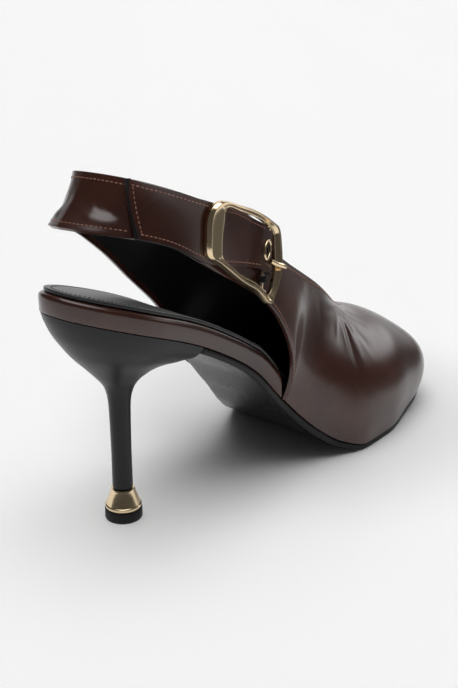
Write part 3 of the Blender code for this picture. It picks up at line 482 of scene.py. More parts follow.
def nodeMaterial(name, colour, roughness, metallic=0.0, coat=0.0, coatRoughness=0.1, specular=0.5):
    mat = bpy.data.materials.new(name)
    mat.use_nodes = True
    shader = mat.node_tree.nodes["Principled BSDF"]
    setInputs(mat.node_tree, shader, {
        "Base Color": (*colour, 1), "Roughness": roughness, "Metallic": metallic,
        "Coat Weight": coat, "Coat Roughness": coatRoughness, "Specular IOR Level": specular})
    return mat, mat.node_tree, shader


def noiseAt(tree, scale, stretch=(1, 1, 1)):
    # noise in shoe coordinates, scale in features a metre
    coords = addNode(tree, "ShaderNodeTexCoord")
    mapping = addNode(tree, "ShaderNodeMapping", {"Vector": coords.outputs["Object"], "Scale": stretch})
    noise = addNode(tree, "ShaderNodeTexNoise",
                    {"Vector": mapping.outputs["Vector"], "Scale": scale, "Detail": 3})
    return noise.outputs["Fac"]


def ramp(tree, source, stops):
    node = addNode(tree, "ShaderNodeValToRGB", {"Fac": source})
    while len(node.color_ramp.elements) < len(stops):
        node.color_ramp.elements.new(0.5)
    for element, (place, colour) in zip(node.color_ramp.elements, stops):
        element.position = place
        element.color = (*colour, 1)
    return node.outputs["Color"]


def fade(tree, source, low, high, start, end):
    # from start where the source is low to end where it is high, eased at both
    node = addNode(tree, "ShaderNodeMapRange", {"Value": source, "From Min": low, "From Max": high,
                                                "To Min": start, "To Max": end},
                   interpolation_type="SMOOTHSTEP")
    return node.outputs["Result"]


def bumpFrom(tree, height, strength, distance, under=None):
    bump = addNode(tree, "ShaderNodeBump", {"Height": height, "Strength": strength, "Distance": distance})
    if under:
        tree.links.new(under, bump.inputs["Normal"])
    return bump.outputs["Normal"]


leather = {
    "deep": (0.024, 0.0070, 0.0042),
    "mid": (0.040, 0.0115, 0.0065),
    "light": (0.064, 0.0200, 0.0108),
    "roughness": 0.27,
    "coat": 0.28,
    "coatRoughness": 0.16,
    "cloud": 26,                # patches of deeper and lighter brown a metre
    "grain": 240,
    "grainDepth": 0.16 * mm,
    "pore": 1800,
    "poreDepth": 0.05 * mm,
    "stretch": (1, 1, 0.4),     # grain and pores run a little longer upwards
}
plain = {
    "wear": 70,                 # patches of more and less gloss a metre
    "wearRange": (0.85, 1.2),   # times the roughness
    "bump": 0.4,
}


def makeLeather(name):
    mat, tree, shader = nodeMaterial(name, leather["mid"], leather["roughness"],
                                     coat=leather["coat"], coatRoughness=leather["coatRoughness"])
    stops = [(0.3, leather["deep"]), (0.5, leather["mid"]), (0.72, leather["light"])]
    grain = noiseAt(tree, leather["grain"], leather["stretch"])
    pore = noiseAt(tree, leather["pore"], leather["stretch"])
    bump = bumpFrom(tree, grain, 0.35, leather["grainDepth"])
    bump = bumpFrom(tree, pore, 0.25, leather["poreDepth"], bump)
    setInputs(tree, shader, {
        "Base Color": ramp(tree, noiseAt(tree, leather["cloud"]), stops), "Normal": bump})
    return mat


def makePlain(name, colour, roughness, grain, grainDepth, coat=0.0, metallic=0.0, specular=0.5):
    mat, tree, shader = nodeMaterial(name, colour, roughness, metallic, coat, specular=specular)
    low, high = plain["wearRange"]
    wear = addNode(tree, "ShaderNodeMapRange", {"Value": noiseAt(tree, plain["wear"]),
                                                "To Min": roughness * low, "To Max": roughness * high})
    setInputs(tree, shader, {
        "Roughness": wear.outputs["Result"],
        "Normal": bumpFrom(tree, noiseAt(tree, grain), plain["bump"], grainDepth)})
    return mat


black = (0.005, 0.005, 0.0055)
brownLeather = makeLeather("mahogany_leather")
blackLining = makePlain("black_lining_leather", black, 0.36, 1500, 0.04 * mm, specular=0.35)
sockLeather = makePlain("black_sock_leather", (0.009, 0.009, 0.010), 0.34, 1500, 0.04 * mm)
edgePaint = makePlain("black_edge_paint", black, 0.40, 900, 0.03 * mm, specular=0.25)
soleLeather = makePlain("black_sole_leather", (0.007, 0.007, 0.008), 0.26, 1300, 0.03 * mm, specular=0.5)
heelLacquer = makePlain("satin_black_heel", (0.007, 0.0073, 0.0090), 0.32, 500, 0.02 * mm, specular=0.32)
liftRubber = makePlain("black_lift_rubber", (0.006, 0.006, 0.006), 0.55, 1600, 0.03 * mm, specular=0.3)
loopGloss = makePlain("black_gloss_loop", (0.008, 0.008, 0.009), 0.10, 400, 0.01 * mm, coat=0.5)
goldMetal = makePlain("polished_gold", (0.83, 0.66, 0.43), 0.13, 300, 0.006 * mm, metallic=1.0)
stitchThread = makePlain("rosy_thread", (0.27, 0.125, 0.085), 0.55, 2500, 0.03 * mm)
blackThread = makePlain("black_thread", (0.02, 0.02, 0.022), 0.5, 2500, 0.03 * mm)
print("materials made")

# Bottom: covered insole board, sock and outsole
bottom = {
    "boardThick": 7.0 * mm,
    "boardFrontThick": 2.6 * mm,
    "boardRound": 2.2 * mm,
    "boardInside": 3.6 * mm,
    "sockThick": 1.2 * mm,
    "sockInset": 1.8 * mm,
    "sockInside": 4.4 * mm,
    "coverMargin": 0.6 * mm,
    "coverStep": 1.6 * mm,
    "breast": 18.0 * mm,
    "thinFrom": 0.45,           # share of the length where the board starts to thin, and over how much
    "thinOver": 0.10,
    "stations": 190,
    "nearCut": (-3.2, 0.6),     # mm beside the quarter's end where stations stand closer
    "sockRound": 0.5 * mm,
    "sockFoot": 0.1 * mm,
    "boardFoot": 0.3 * mm,
}
# Levels of the outsole from its underside up: mm in from the edge, mm up from the underside
soleLevels = ((0.5, 0.0), (0.15, 0.15), (0.0, 0.5), (0.0, 2.0), (0.25, 2.3))


def coveredInset(x, side, behind, inside):
    half = outerHalf if side < 0 else innerHalf
    cutX = half.low[len(half.stations) - 1, 0]
    t = smooth((x - cutX + bottom["coverMargin"] + bottom["coverStep"]) / bottom["coverStep"])
    return behind + (inside - behind) * t


def boardTop(x):
    t = smooth((shareOf(x) - bottom["thinFrom"]) / bottom["thinOver"])
    return bottom["boardThick"] + (bottom["boardFrontThick"] - bottom["boardThick"]) * t


def plateStations(first, end):
    # places along a plate, closer at its ends and where the quarters end
    share = np.linspace(0, 1, bottom["stations"])
    share = 0.55 * (1 - np.cos(share * math.pi)) / 2 + 0.45 * share
    for half in (outerHalf, innerHalf):
        cut = (half.low[len(half.stations) - 1, 0] - first) / (end - first)
        share = np.concatenate([share, cut + np.linspace(*bottom["nearCut"], 12) * mm / (end - first)])
    return np.unique(np.clip(share, 0, 1))


def makePlate(name, first, end, inset, levels, mats, node, slot, across=16, sideMat=0):
    # stacked outlines of the bottom: each level is an extra inset and a height over the board
    share = plateStations(first, end)
    n = len(share)

    def edgesAt(extra):
        x = first + extra + (end - first - 2 * extra) * share
        return x, edgeY(x, -1, inset(x, -1) + extra), edgeY(x, 1, inset(x, 1) + extra)

    verts = []
    for extra, rise in levels:
        x, outer, inner = edgesAt(extra)
        x, y = np.concatenate([x, x[::-1]]), np.concatenate([outer, inner[::-1]])
        verts.extend(offBoard(x, y, rise(x)))
    faces = gridFaces(len(levels), 2 * n, loop=True)
    faceMat = [sideMat] * len(faces)
    for (extra, rise), flip in ((levels[0], True), (levels[-1], False)):
        x, outer, inner = edgesAt(extra)
        y = outer[:, None] + (inner - outer)[:, None] * np.linspace(0, 1, across + 1)
        x = np.repeat(x[:, None], across + 1, 1)
        cap = gridFaces(n, across + 1, len(verts), flip)
        verts.extend(offBoard(x, y, rise(x)).reshape(-1, 3))
        faces += cap
        faceMat += [0] * len(cap)
    addPiece(name, verts, faces, mats, node, slot, 50, faceMat)


def roundedLevels(low, high, radius, foot, steps=6):
    # outline levels from a low face to a high face with a rounded top edge
    levels = [(foot, low), (0.0, lambda x: low(x) + foot)]
    for k in range(steps + 1):
        a = k / steps * math.pi / 2
        levels.append((radius * (1 - math.cos(a)), lambda x, a=a: high(x) - radius * (1 - math.sin(a))))
    return levels


def makeBottom():
    front = last["heelBack"] + last["length"]
    inside, sockInside, sockInset = bottom["boardInside"], bottom["sockInside"], bottom["sockInset"]
    makePlate("insole_rand", last["heelBack"], front - inside,
              lambda x, side: coveredInset(x, side, 0, inside),
              roundedLevels(lambda x: 0 * x, boardTop, bottom["boardRound"], bottom["boardFoot"]),
              [brownLeather], "insole", "brown_leather")
    under = lambda x: boardTop(x) + gap
    over = lambda x: under(x) + bottom["sockThick"]
    makePlate("sock_lining", last["heelBack"] + sockInset, front - sockInside,
              lambda x, side: coveredInset(x, side, sockInset, sockInside),
              roundedLevels(under, over, bottom["sockRound"], bottom["sockFoot"], 3),
              [sockLeather], "sock", "black_lining", across=24)
    base = -gap - soleLevels[-1][1] * mm
    levels = [(extra * mm, lambda x, rise=rise: 0 * x + base + rise * mm) for extra, rise in soleLevels]
    makePlate("outsole_leather", bottom["breast"] + gap, front - gap, lambda x, side: gap + 0 * x,
              levels, [soleLeather, edgePaint], "outsole", "black_sole", across=24, sideMat=1)


makeBottom()
print("bottom made")

# Heel, collar and top lift
heel = {
    "liftRadius": 6.9 * mm,
    "liftHeight": 4.2 * mm,
    "collarHeight": 7.6 * mm,
    "collarLow": 6.7 * mm,
    "collarTop": 4.3 * mm,
    "collarWall": 1.0 * mm,
    "flareCurve": 1.08,
    "neckRadius": 3.75 * mm,    # stem right above the collar
    "neckChamfer": 0.25 * mm,
    "neckHeight": 1.0 * mm,
    "sides": 160,
}
# Turned edges in mm: the collar's rim from its top radius and height, its band from its low
# radius and foot, and a corner of the lift, inwards and along
collarRim = ((-0.20, 0.0), (-0.06, -0.06), (0.0, -0.20))
collarBand = ((-0.35, 1.40), (-0.12, 1.22), (0.0, 1.05), (0.0, 0.22), (-0.08, 0.07), (-0.25, 0.0))
liftCorner = ((0.40, 0.0), (0.12, 0.12), (0.0, 0.40))
# Height as a share of the stem, radius in mm, share of the way from the round stem to the seat
heelSections = (
    (0.150, 3.75, 0.000),
    (0.300, 3.70, 0.000),
    (0.450, 3.80, 0.000),
    (0.560, 3.95, 0.000),
    (0.620, 4.15, 0.010),
    (0.664, 4.30, 0.040),
    (0.708, 4.30, 0.115),
    (0.746, 4.30, 0.220),
    (0.784, 4.30, 0.345),
    (0.818, 4.30, 0.485),
    (0.850, 4.30, 0.625),
    (0.882, 4.30, 0.742),
    (0.913, 4.30, 0.850),
    (0.946, 4.30, 0.925),
    (0.980, 4.30, 0.980),
    (1.000, 4.30, 1.000),
)


def ringMesh(rings, base=0):
    # a tube through the rings with both ends closed
    count = len(rings[0])
    faces = gridFaces(len(rings), count, base, loop=True)
    faces.append(tuple(range(base, base + count)))
    faces.append(tuple(range(base + (len(rings) - 1) * count, base + len(rings) * count)))
    return list(np.concatenate(rings)), faces


def seatRing(count):
    # the seat's outline in evenly spaced points, cut off at the breast
    breast = bottom["breast"]
    x = breast - (breast - last["heelBack"] - gap) * (1 - np.cos(np.linspace(0, math.pi, 120))) / 2
    outer = np.stack([x, edgeY(x, -1, gap)], 1)
    inner = np.stack([x, edgeY(x, 1, gap)], 1)[::-1]
    loop = np.concatenate([outer, inner[1:], outer[:1]])
    run = runOf(loop)
    at = np.arange(count) / count * run[-1]
    return np.stack([np.interp(at, run, loop[:, 0]), np.interp(at, run, loop[:, 1])], 1)


def makeHeel():
    count = heel["sides"]
    seat = seatRing(count)
    angle = np.unwrap(np.arctan2(seat[:, 1], seat[:, 0]))
    top = offBoard(seat[:, 0], seat[:, 1], -gap)
    floorZ = heel["liftHeight"] + gap
    stepZ = floorZ + heel["collarHeight"] + gap
    rows = np.array(heelSections)
    centreZ = offBoard(np.zeros(1), np.zeros(1), -gap)[0, 2]
    heights = np.unique(np.concatenate([rows[:, 0], np.linspace(rows[0, 0], 1, 90)]))
    radii = steady(rows[:, 0], rows[:, 1], heights) * mm
    turned = rows[3:]     # the stem is round up to the fourth section
    shares = np.clip(spline(turned[:, 0], turned[:, 2], np.maximum(heights, turned[0, 0])), 0, 1)
    plug = heel["collarTop"] - heel["collarWall"] - gap
    neck, chamfer = heel["neckRadius"], heel["neckChamfer"]
    rings = []
    for z, radius in ((floorZ, plug), (stepZ, plug), (stepZ, neck - chamfer), (stepZ + chamfer, neck)):
        rings.append(np.column_stack([radius * np.cos(angle), radius * np.sin(angle), z + 0 * angle]))
    for height, radius, share in zip(heights, radii, shares):
        circle = np.stack([radius * np.cos(angle), radius * np.sin(angle)], 1)
        xy = circle + share * (seat - circle)
        z = floorZ + height * (centreZ - floorZ) + share ** 2 * (top[:, 2] - centreZ)
        if z.min() > stepZ + heel["neckHeight"]:
            rings.append(np.column_stack([xy, z]))
    addPiece("heel_block", *ringMesh(rings), [heelLacquer], "heel", "black_heel", 38)


def lathe(name, profile, mats, node, slot, closed=False, sharp=35, segments=128):
    # turns a profile of radius and height round the heel's axis
    verts = []
    for k in range(segments):
        a = k / segments * 2 * math.pi
        verts += [(r * math.cos(a), r * math.sin(a), z) for r, z in profile]
    n = len(profile)
    faces = []
    for k in range(segments):
        m = (k + 1) % segments
        for i in range(n if closed else n - 1):
            j = (i + 1) % n
            faces.append((k * n + i, m * n + i, m * n + j, k * n + j))
    addPiece(name, verts, faces, mats, node, slot, sharp)


def makeHeelEnd():
    base = heel["liftHeight"] + gap
    high = base + heel["collarHeight"]
    inside = heel["collarTop"] - heel["collarWall"]
    rim = [(heel["collarTop"] + r * mm, high + z * mm) for r, z in collarRim]
    band = [(heel["collarLow"] + r * mm, base + z * mm) for r, z in collarBand]
    flare = []
    for t in np.linspace(0, 1, 14):
        r = rim[-1][0] + (band[0][0] - rim[-1][0]) * t ** heel["flareCurve"]
        flare.append((r, rim[-1][1] - t * (rim[-1][1] - band[0][1])))
    profile = [(inside, high)] + rim[:-1] + flare + band[1:] + [(inside, base)]
    lathe("heel_collar_gold", profile, [goldMetal], "heel_collar", "gold", closed=True, sharp=28)
    r, h = heel["liftRadius"], heel["liftHeight"]
    above = [(r - a * mm, h - b * mm) for a, b in liftCorner]
    below = [(r - a * mm, b * mm) for a, b in reversed(liftCorner)]
    lathe("top_lift_rubber", [(0, h)] + above + below + [(0, 0)], [liftRubber], "top_lift", "black_rubber")


makeHeel()
makeHeelEnd()
print("heel made")

# Upper with its sling: one shell of leather and lining
upper = {
    "wall": 1.6 * mm,
    "columns": 16,        # a rib
    "rows": 46,
    "edgeRound": 0.5 * mm,
    "turnIn": 2.2 * mm,   # leather turned over the edge onto the lining
    "footBlend": 4,       # how soon the lift off the board fades out upwards
    "creaseFade": 0.3,    # share of a crease's length
}
# Rib and height where a crease starts and ends, its width and its depth (below 0 for a ridge)
creases = (
    (6.66, 0.86, 5.60, 0.36, 3.0 * mm, -0.26 * mm),
    (6.66, 0.84, 6.00, 0.34, 2.6 * mm, 0.24 * mm),
    (6.20, 0.62, 5.45, 0.34, 1.8 * mm, 0.12 * mm),
    (6.00, 0.64, 5.20, 0.38, 1.8 * mm, -0.12 * mm),
    (6.62, 0.86, 5.30, 0.50, 3.2 * mm, 0.20 * mm),
    (6.60, 0.88, 5.05, 0.62, 3.6 * mm, -0.20 * mm),
    (6.68, 0.82, 6.35, 0.45, 2.4 * mm, -0.18 * mm),
    (6.80, 0.84, 6.85, 0.50, 3.0 * mm, 0.22 * mm),
    (6.55, 0.88, 4.80, 0.72, 4.0 * mm, 0.18 * mm),
    (8.60, 0.88, 7.10, 0.36, 5.0 * mm, 0.16 * mm),
    (19.0, 0.60, 17.35, 0.36, 5.0 * mm, 0.20 * mm),
    (18.3, 0.50, 17.25, 0.30, 3.5 * mm, 0.12 * mm),
    (18.5, 0.26, 17.30, 0.18, 4.0 * mm, -0.30 * mm),
    (18.1, 0.66, 17.60, 0.34, 1.8 * mm, 0.10 * mm),
    (17.8, 0.60, 17.45, 0.26, 1.6 * mm, 0.09 * mm),
    (18.4, 0.58, 18.05, 0.30, 2.0 * mm, -0.10 * mm),
)


def creaseDepth(half, grid):
    # how far the creases push each point of the shell inwards
    depth = np.zeros(grid.shape[:2])
    for u1, v1, u2, v2, width, deep in creases:
        t = np.linspace(0, 1, 60)
        line = riseAt(u1 + (u2 - u1) * t, v1 + (v2 - v1) * t, 0, half)[0]
        away = np.full(grid.shape[:2], np.inf)
        along = np.zeros(grid.shape[:2])
        for share, point in zip(t, line):
            far = np.linalg.norm(grid - point, axis=2)
            along = np.where(far < away, share, along)
            away = np.minimum(far, away)
        ends = smooth(np.minimum(along, 1 - along) / upper["creaseFade"])
        depth += deep * ends * np.exp(-(2 * away / width) ** 2)
    return depth


def makeUpper():
    end = len(outerRibs) - 1
    u = np.linspace(0, end, end * upper["columns"] + 1)
    verts, faces, faceMat = [], [], []
    for half in (outerHalf, innerHalf):
        low = heightFrom(half, u, upper["turnIn"], False)[:, None]
        top = heightFrom(half, u, upper["turnIn"], True)[:, None]
        middle = low + (top - low) * np.linspace(0, 1, upper["rows"])
        v = np.concatenate([0 * low, low / 2, middle, (1 + top) / 2, 0 * top + 1], 1)
        rows = v.shape[1]
        grid = half.points(u, v)
        foot = grid[:, 0]
        normal = half.normals(u, [0.0])[:, 0]
        # the wall's inner foot stays clear of the sole
        drop = boardZ(foot[:, 0] - upper["wall"] * normal[:, 0]) - boardZ(foot[:, 0])
        drop += upper["wall"] * normal[:, 2]
        lift = np.where(u <= len(half.stations) - 1, np.maximum(drop, 0) + 0.5 * gap, 0)
        grid[:, :, 2] += lift[:, None] * (1 - v) ** upper["footBlend"]
        grid -= creaseDepth(half, grid)[..., None] * half.normals(u, v)
        base = len(verts)
        verts.extend(grid.reshape(-1, 3))
        faces += gridFaces(len(u), rows, base, half.side > 0)
        faceMat += ([2, 2] + [0] * (rows - 5) + [2, 2]) * (len(u) - 1)
    mats = [brownLeather, blackLining, brownLeather, brownLeather]
    ob = addPiece("upper_shell", verts, faces, mats, "upper", "brown_leather", 70, faceMat)
    shell = ob.modifiers.new("wall", "SOLIDIFY")
    shell.thickness = upper["wall"]
    shell.offset = -1
    shell.use_even_offset = True
    shell.use_quality_normals = True
    shell.material_offset = 1
    roundEdges(ob, upper["edgeRound"], 50)


makeUpper()
print("upper made")

# Buckle strap over the sling's outer side, folded over the buckle's centre bar
strap = {
    "thick": 1.7 * mm,
    "start": (16.95, 0.44),
    "barLow": (13.14, -0.010),
    "barTop": (13.48, 1.280),
    "barRadius": 0.8 * mm,
    "foldFlat": 0.42,     # ribs beside the bar where the strap lies level
    "foldReach": 0.80,
    "foldTurn": 90,       # degrees that the strap wraps round the bar
    "hole": (13.60, 0.75),
    "holeHalf": (1.5 * mm, 2.9 * mm),
    "eyeletWire": 0.45 * mm,
    "edgeRound": 0.4 * mm,
    "stations": 151,
    "across": 21,
    "foldSteps": 12,
    "holeSides": 48,
    "cutDepth": 9 * mm,
    "bead": (0.75 * mm, 1.05 * mm),   # edge paint's radius in the middle and at the corners
    "beadCorner": (0.22, 0.28),       # how far off the middle it thickens, and over how much
    "beadRise": 0.55,                 # share of the strap's thickness
}
# Share of the way from the cut end to the bar, lower edge and upper edge as heights on the sling
strapEdges = (
    (0.00, -0.03, 1.01),
    (0.20, -0.03, 1.00),
    (0.40, -0.02, 0.99),
    (0.52, 0.03, 1.01),
    (0.62, 0.11, 1.06),
    (0.72, 0.22, 1.13),
    (0.82, 0.32, 1.165),
    (0.92, 0.385, 1.17),
    (1.00, 0.40, 1.13),
)
barRise = gap + 0.1 * mm + strap["barRadius"]


def barRib(v):
    low, top = strap["barLow"], strap["barTop"]
    return low[0] + (v - low[1]) / (top[1] - low[1]) * (top[0] - low[0])


def strapRise(u, v):
    away = np.abs(u - barRib(v))
    t = smooth((strap["foldReach"] - away) / (strap["foldReach"] - strap["foldFlat"]))
    return gap + (barRise + strap["barRadius"]) * t


def strapPlace(s, h):
    # rib and height of a place on the strap: s along it, h across it
    rows = np.array(strapEdges)
    s = np.asarray(s, float)
    low = steady(rows[:, 0], rows[:, 1], s.ravel()).reshape(s.shape)
    top = steady(rows[:, 0], rows[:, 2], s.ravel()).reshape(s.shape)
    v = low + (top - low) * h
    start = strap["start"][0] + strap["start"][1] * v
    return start + (barRib(v) - start) * s, v


def axesAt(u, v, e=0.01):
    # the point on the upper, the way along it towards the toe and its normal
    at, normal = riseAt(u, v, 0)
    return at, unit(riseAt(u - e, v, 0)[0] - riseAt(u + e, v, 0)[0]), normal


def strapFold(v, turn, radius):
    # places round the bar, turned from its top towards the toe
    at, along, normal = axesAt(barRib(v), v)
    turn = np.radians(turn)[:, None, None]
    return at + barRise * normal + radius * (np.sin(turn) * along + np.cos(turn) * normal)


def localAxes(place):
    at, along, normal = axesAt(*place)
    upward = unit(np.cross(normal, along))
    return at, along, upward if upward[2] > 0 else -upward, normal


def bakeCut(ob, cutter):
    # cuts the hole and keeps the result as the object's mesh
    cut = ob.modifiers.new("hole", "BOOLEAN")
    cut.operation = "DIFFERENCE"
    cut.solver = "EXACT"
    cut.object = cutter
    made = bpy.data.meshes.new_from_object(ob.evaluated_get(bpy.context.evaluated_depsgraph_get()))
    ob.modifiers.remove(cut)
    ob.data = made
    bpy.data.objects.remove(cutter, do_unlink=True)


def makeEndBead():
    # edge paint thick on the strap's cut end, more so at its corners
    h = np.linspace(0, 1, 60)
    u, v = strapPlace(0 * h, h)
    middle, corner = strap["bead"]
    off, over = strap["beadCorner"]
    radius = middle + (corner - middle) * smooth((np.abs(h - 0.5) - off) / over)
    rings = rodRings(u, v, gap + strap["beadRise"] * strap["thick"] + 0 * h, radius, 16)
    addPiece("strap_end_paint", *ringMesh(rings), [edgePaint], None, "brown_leather", 60)


def makeStrap():
    s = np.linspace(0, 1, strap["stations"])
    h = np.linspace(0, 1, strap["across"])
    u, v = strapPlace(*np.meshgrid(s, h, indexing="ij"))
    turn = np.linspace(0, strap["foldTurn"], strap["foldSteps"] + 1)[1:]
    verts = []
    for off in (0, strap["thick"]):
        verts.extend(riseAt(u, v, strapRise(u, v) + off)[0].reshape(-1, 3))
        verts.extend(strapFold(v[-1:], turn, strap["barRadius"] + gap + off).reshape(-1, 3))
    rows, cols = len(s) + len(turn), len(h)
    half = rows * cols
    faces = gridFaces(rows, cols, 0) + gridFaces(rows, cols, half, True)
    faceMat = [1] * ((rows - 1) * (cols - 1)) + [0] * ((rows - 1) * (cols - 1))
    border = [(0, c) for c in range(cols)] + [(r, cols - 1) for r in range(1, rows)]
    border += [(rows - 1, c) for c in range(cols - 2, -1, -1)] + [(r, 0) for r in range(rows - 2, 0, -1)]
    for (r1, c1), (r2, c2) in zip(border, border[1:] + border[:1]):
        a, b = r1 * cols + c1, r2 * cols + c2
        faces.append((a, half + a, half + b, b))
        faceMat.append(2)
    ob = addPiece("overlay_strap", verts, faces, [brownLeather, blackLining, edgePaint], "buckle_strap",
                  "brown_leather", 50, faceMat)
    at, along, upward, normal = localAxes(strap["hole"])
    turn = np.arange(strap["holeSides"]) / strap["holeSides"] * 2 * math.pi
    halfW, halfH = strap["holeHalf"]
    ring = at + np.outer(np.cos(turn) * halfW, along) + np.outer(np.sin(turn) * halfH, upward)
    bakeCut(ob, addPiece("hole_cutter", *ringMesh([ring, ring + strap["cutDepth"] * normal]), [edgePaint]))
    roundEdges(ob, strap["edgeRound"], 55)


# Buckle: wide rounded frame, centre bar, prong, eyelet and loop
buckle = {
    "thick": 2.7 * mm,
    "postRadius": 1.5 * mm,
    "edgeRound": 0.28 * mm,
    "stations": 220,
    "postLift": 0.3 * mm,
    "thinBar": (0.63, 0.53, 0.05),    # middle and half of the bar's thin run, and the fade beyond it
    "prongStations": 70,
    "prongTip": 5,          # stations over which the prong's end is rounded
    "eyeletSides": (72, 16),
    "loopRange": (0.21, 0.33),
    "loopWall": 0.7 * mm,
    "loopRound": 0.2 * mm,
}
# Heights of the centre bar's rings, closer together at its thick ends
barHeights = (strap["barLow"][1], 0.04, 0.10, 0.16, *np.linspace(0.3, 1.0, 8), 1.10, 1.16, 1.22,
              strap["barTop"][1])
# Rib and height of the frame's outer and inner edge, round the frame
frameEdges = (
    (15.27, 0.28, 14.86, 0.42),
    (15.34, 0.50, 14.92, 0.63),
    (15.38, 0.65, 14.95, 0.81),
    (15.38, 0.79, 14.98, 0.94),
    (15.31, 0.96, 14.96, 1.015),
    (15.13, 1.09, 14.89, 1.06),
    (14.91, 1.135, 14.73, 1.08),
    (14.46, 1.23, 14.50, 1.115),
    (13.75, 1.34, 13.99, 1.215),
    (13.29, 1.37, 13.60, 1.23),
    (12.99, 1.32, 13.27, 1.19),
    (12.86, 1.05, 13.18, 1.00),
    (12.82, 0.85, 13.09, 0.78),
    (12.81, 0.55, 13.00, 0.53),
    (12.86, 0.20, 12.98, 0.30),
    (12.89, 0.04, 12.99, 0.145),
    (12.92, -0.08, 13.04, 0.045),
    (13.21, -0.085, 13.31, 0.07),
    (13.95, -0.015, 14.04, 0.115),
    (14.63, 0.065, 14.46, 0.165),
    (15.00, 0.09, 14.66, 0.195),
    (15.17, 0.105, 14.76, 0.235),
    (15.23, 0.18, 14.81, 0.30),
)
# Share of the way inwards and of the thickness
frameSection = (
    (0.00, 0.00), (0.00, 0.60), (0.16, 1.00), (0.46, 0.94), (0.84, 0.52), (1.00, 0.50), (1.00, 0.00),
)
# Rib, height, rise and radius in mm
prongPath = (
    (13.40, 0.585, 5.15, 0.72),
    (13.25, 0.585, 5.30, 0.85),
    (13.12, 0.590, 5.60, 0.90),
    (13.00, 0.600, 6.10, 0.92),
    (12.91, 0.605, 6.25, 0.90),
    (12.84, 0.610, 6.20, 0.80),
)


def closedCurve(points, count):
    padded = np.concatenate([points[-4:], points, points[:5]])
    run = runOf(padded)
    fine = spline(run, padded, np.linspace(run[4], run[4 + len(points)], 40 * len(points) + 1))
    length = runOf(fine)
    at = np.arange(count) / count * length[-1]
    return np.stack([np.interp(at, length, fine[:, k]) for k in range(points.shape[1])], 1)


def rodRings(u, v, rise, radius, sides, arc=(0, 360), hollow=0):
    # rings round a path over the upper, or open half rings with a wall
    centre, normal = riseAt(u, v, rise)
    forward = unit(np.gradient(centre, axis=0))
    aside = unit(np.cross(forward, normal))
    over = unit(np.cross(aside, forward))
    turn = np.radians(np.linspace(arc[0], arc[1], sides, endpoint=arc[1] - arc[0] < 360))
    rings = []
    for k in range(len(centre)):
        spread = np.outer(np.cos(turn), aside[k]) + np.outer(np.sin(turn), over[k])
        ring = centre[k] + radius[k] * spread
        if hollow:
            ring = np.concatenate([ring, (centre[k] + (radius[k] - hollow) * spread)[::-1]])
        rings.append(ring)
    return rings


def makeFrame():
    rows = np.array(frameEdges)
    lift = 2 * gap + strap["thick"]
    outer, _ = riseAt(rows[:, 0], rows[:, 1], lift)
    inner, _ = riseAt(rows[:, 2], rows[:, 3], lift)
    both = closedCurve(np.concatenate([outer, inner], 1), buckle["stations"])
    outer, inner = both[:, :3], both[:, 3:]
    forward = np.roll(outer, -1, 0) - np.roll(outer, 1, 0)
    normal = unit(np.cross(forward, inner - outer))
    if normal[:, 1].sum() > 0:
        normal = -normal
    reach = len(normal) // 12
    normal = unit(sum(np.roll(normal, k, 0) for k in range(-reach, reach + 1)))
    rings = [outer + across * (inner - outer) + height * buckle["thick"] * normal
             for across, height in frameSection]
    verts = list(np.concatenate(rings))
    n = len(outer)
    start = len(verts) - n
    faces = gridFaces(len(rings), n, loop=True)
    faces += [(start + i, start + (i + 1) % n, (i + 1) % n, i) for i in range(n)]
    heights = np.array(barHeights)
    middle, half, beyond = buckle["thinBar"]
    post = np.clip((np.abs(heights - middle) - half) / beyond, 0, 1)     # 1 at the bar's ends
    thicker = buckle["postRadius"] - strap["barRadius"]
    rise = barRise + (thicker + buckle["postLift"]) * post
    rings = rodRings(barRib(heights), heights, rise, strap["barRadius"] + thicker * post, 20)
    barVerts, barFaces = ringMesh(rings, len(verts))
    ob = addPiece("buckle_frame_gold", verts + barVerts, faces + barFaces, [goldMetal], "buckle_frame",
                  "gold", 24)
    roundEdges(ob, buckle["edgeRound"], 24)


def makeBuckleParts():
    path = np.array(prongPath)
    places = spline(np.arange(len(path)), path, np.linspace(0, len(path) - 1, buckle["prongStations"]))
    tipRun = np.clip(np.arange(len(places))[::-1] / buckle["prongTip"], 0, 1)
    radius = places[:, 3] * mm * np.sqrt(1 - (1 - tipRun) ** 2 * 0.9)
    rings = rodRings(places[:, 0], places[:, 1], places[:, 2] * mm, radius, 20)
    addPiece("buckle_prong_gold", *ringMesh(rings), [goldMetal], "buckle_prong", "gold", 50)
    at, along, upward, normal = localAxes(strap["hole"])
    wire = strap["eyeletWire"]
    rise = barRise + strap["barRadius"] + 2 * gap + strap["thick"] + wire
    halfW, halfH = strap["holeHalf"][0] + wire, strap["holeHalf"][1] + wire
    turns, sides = buckle["eyeletSides"]
    rings = []
    for a in np.arange(turns) / turns * 2 * math.pi:
        centre = at + rise * normal + halfW * math.cos(a) * along + halfH * math.sin(a) * upward
        out = unit(halfH * math.cos(a) * along + halfW * math.sin(a) * upward)
        b = np.arange(sides)[:, None] / sides * 2 * math.pi
        rings.append(centre + wire * (np.cos(b) * out + np.sin(b) * normal))
    faces = gridFaces(turns + 1, sides, loop=True)
    addPiece("eyelet_gold", list(np.concatenate(rings + rings[:1])), faces, [goldMetal], "strap_eyelet",
             "gold", 60)
    heights = np.linspace(*buckle["loopRange"], 8)
    radius = np.full(8, strap["barRadius"] + gap + buckle["loopWall"])
    rings = rodRings(barRib(heights), heights, 0 * heights + barRise, radius, 24, (0, 180),
                     buckle["loopWall"])
    ob = addPiece("keeper_loop", *ringMesh(rings), [loopGloss], "buckle_loop", "black_gloss", 40)
    roundEdges(ob, buckle["loopRound"], 50, 2)


makeStrap()
makeEndBead()
makeFrame()
makeBuckleParts()
print("strap and buckle made")

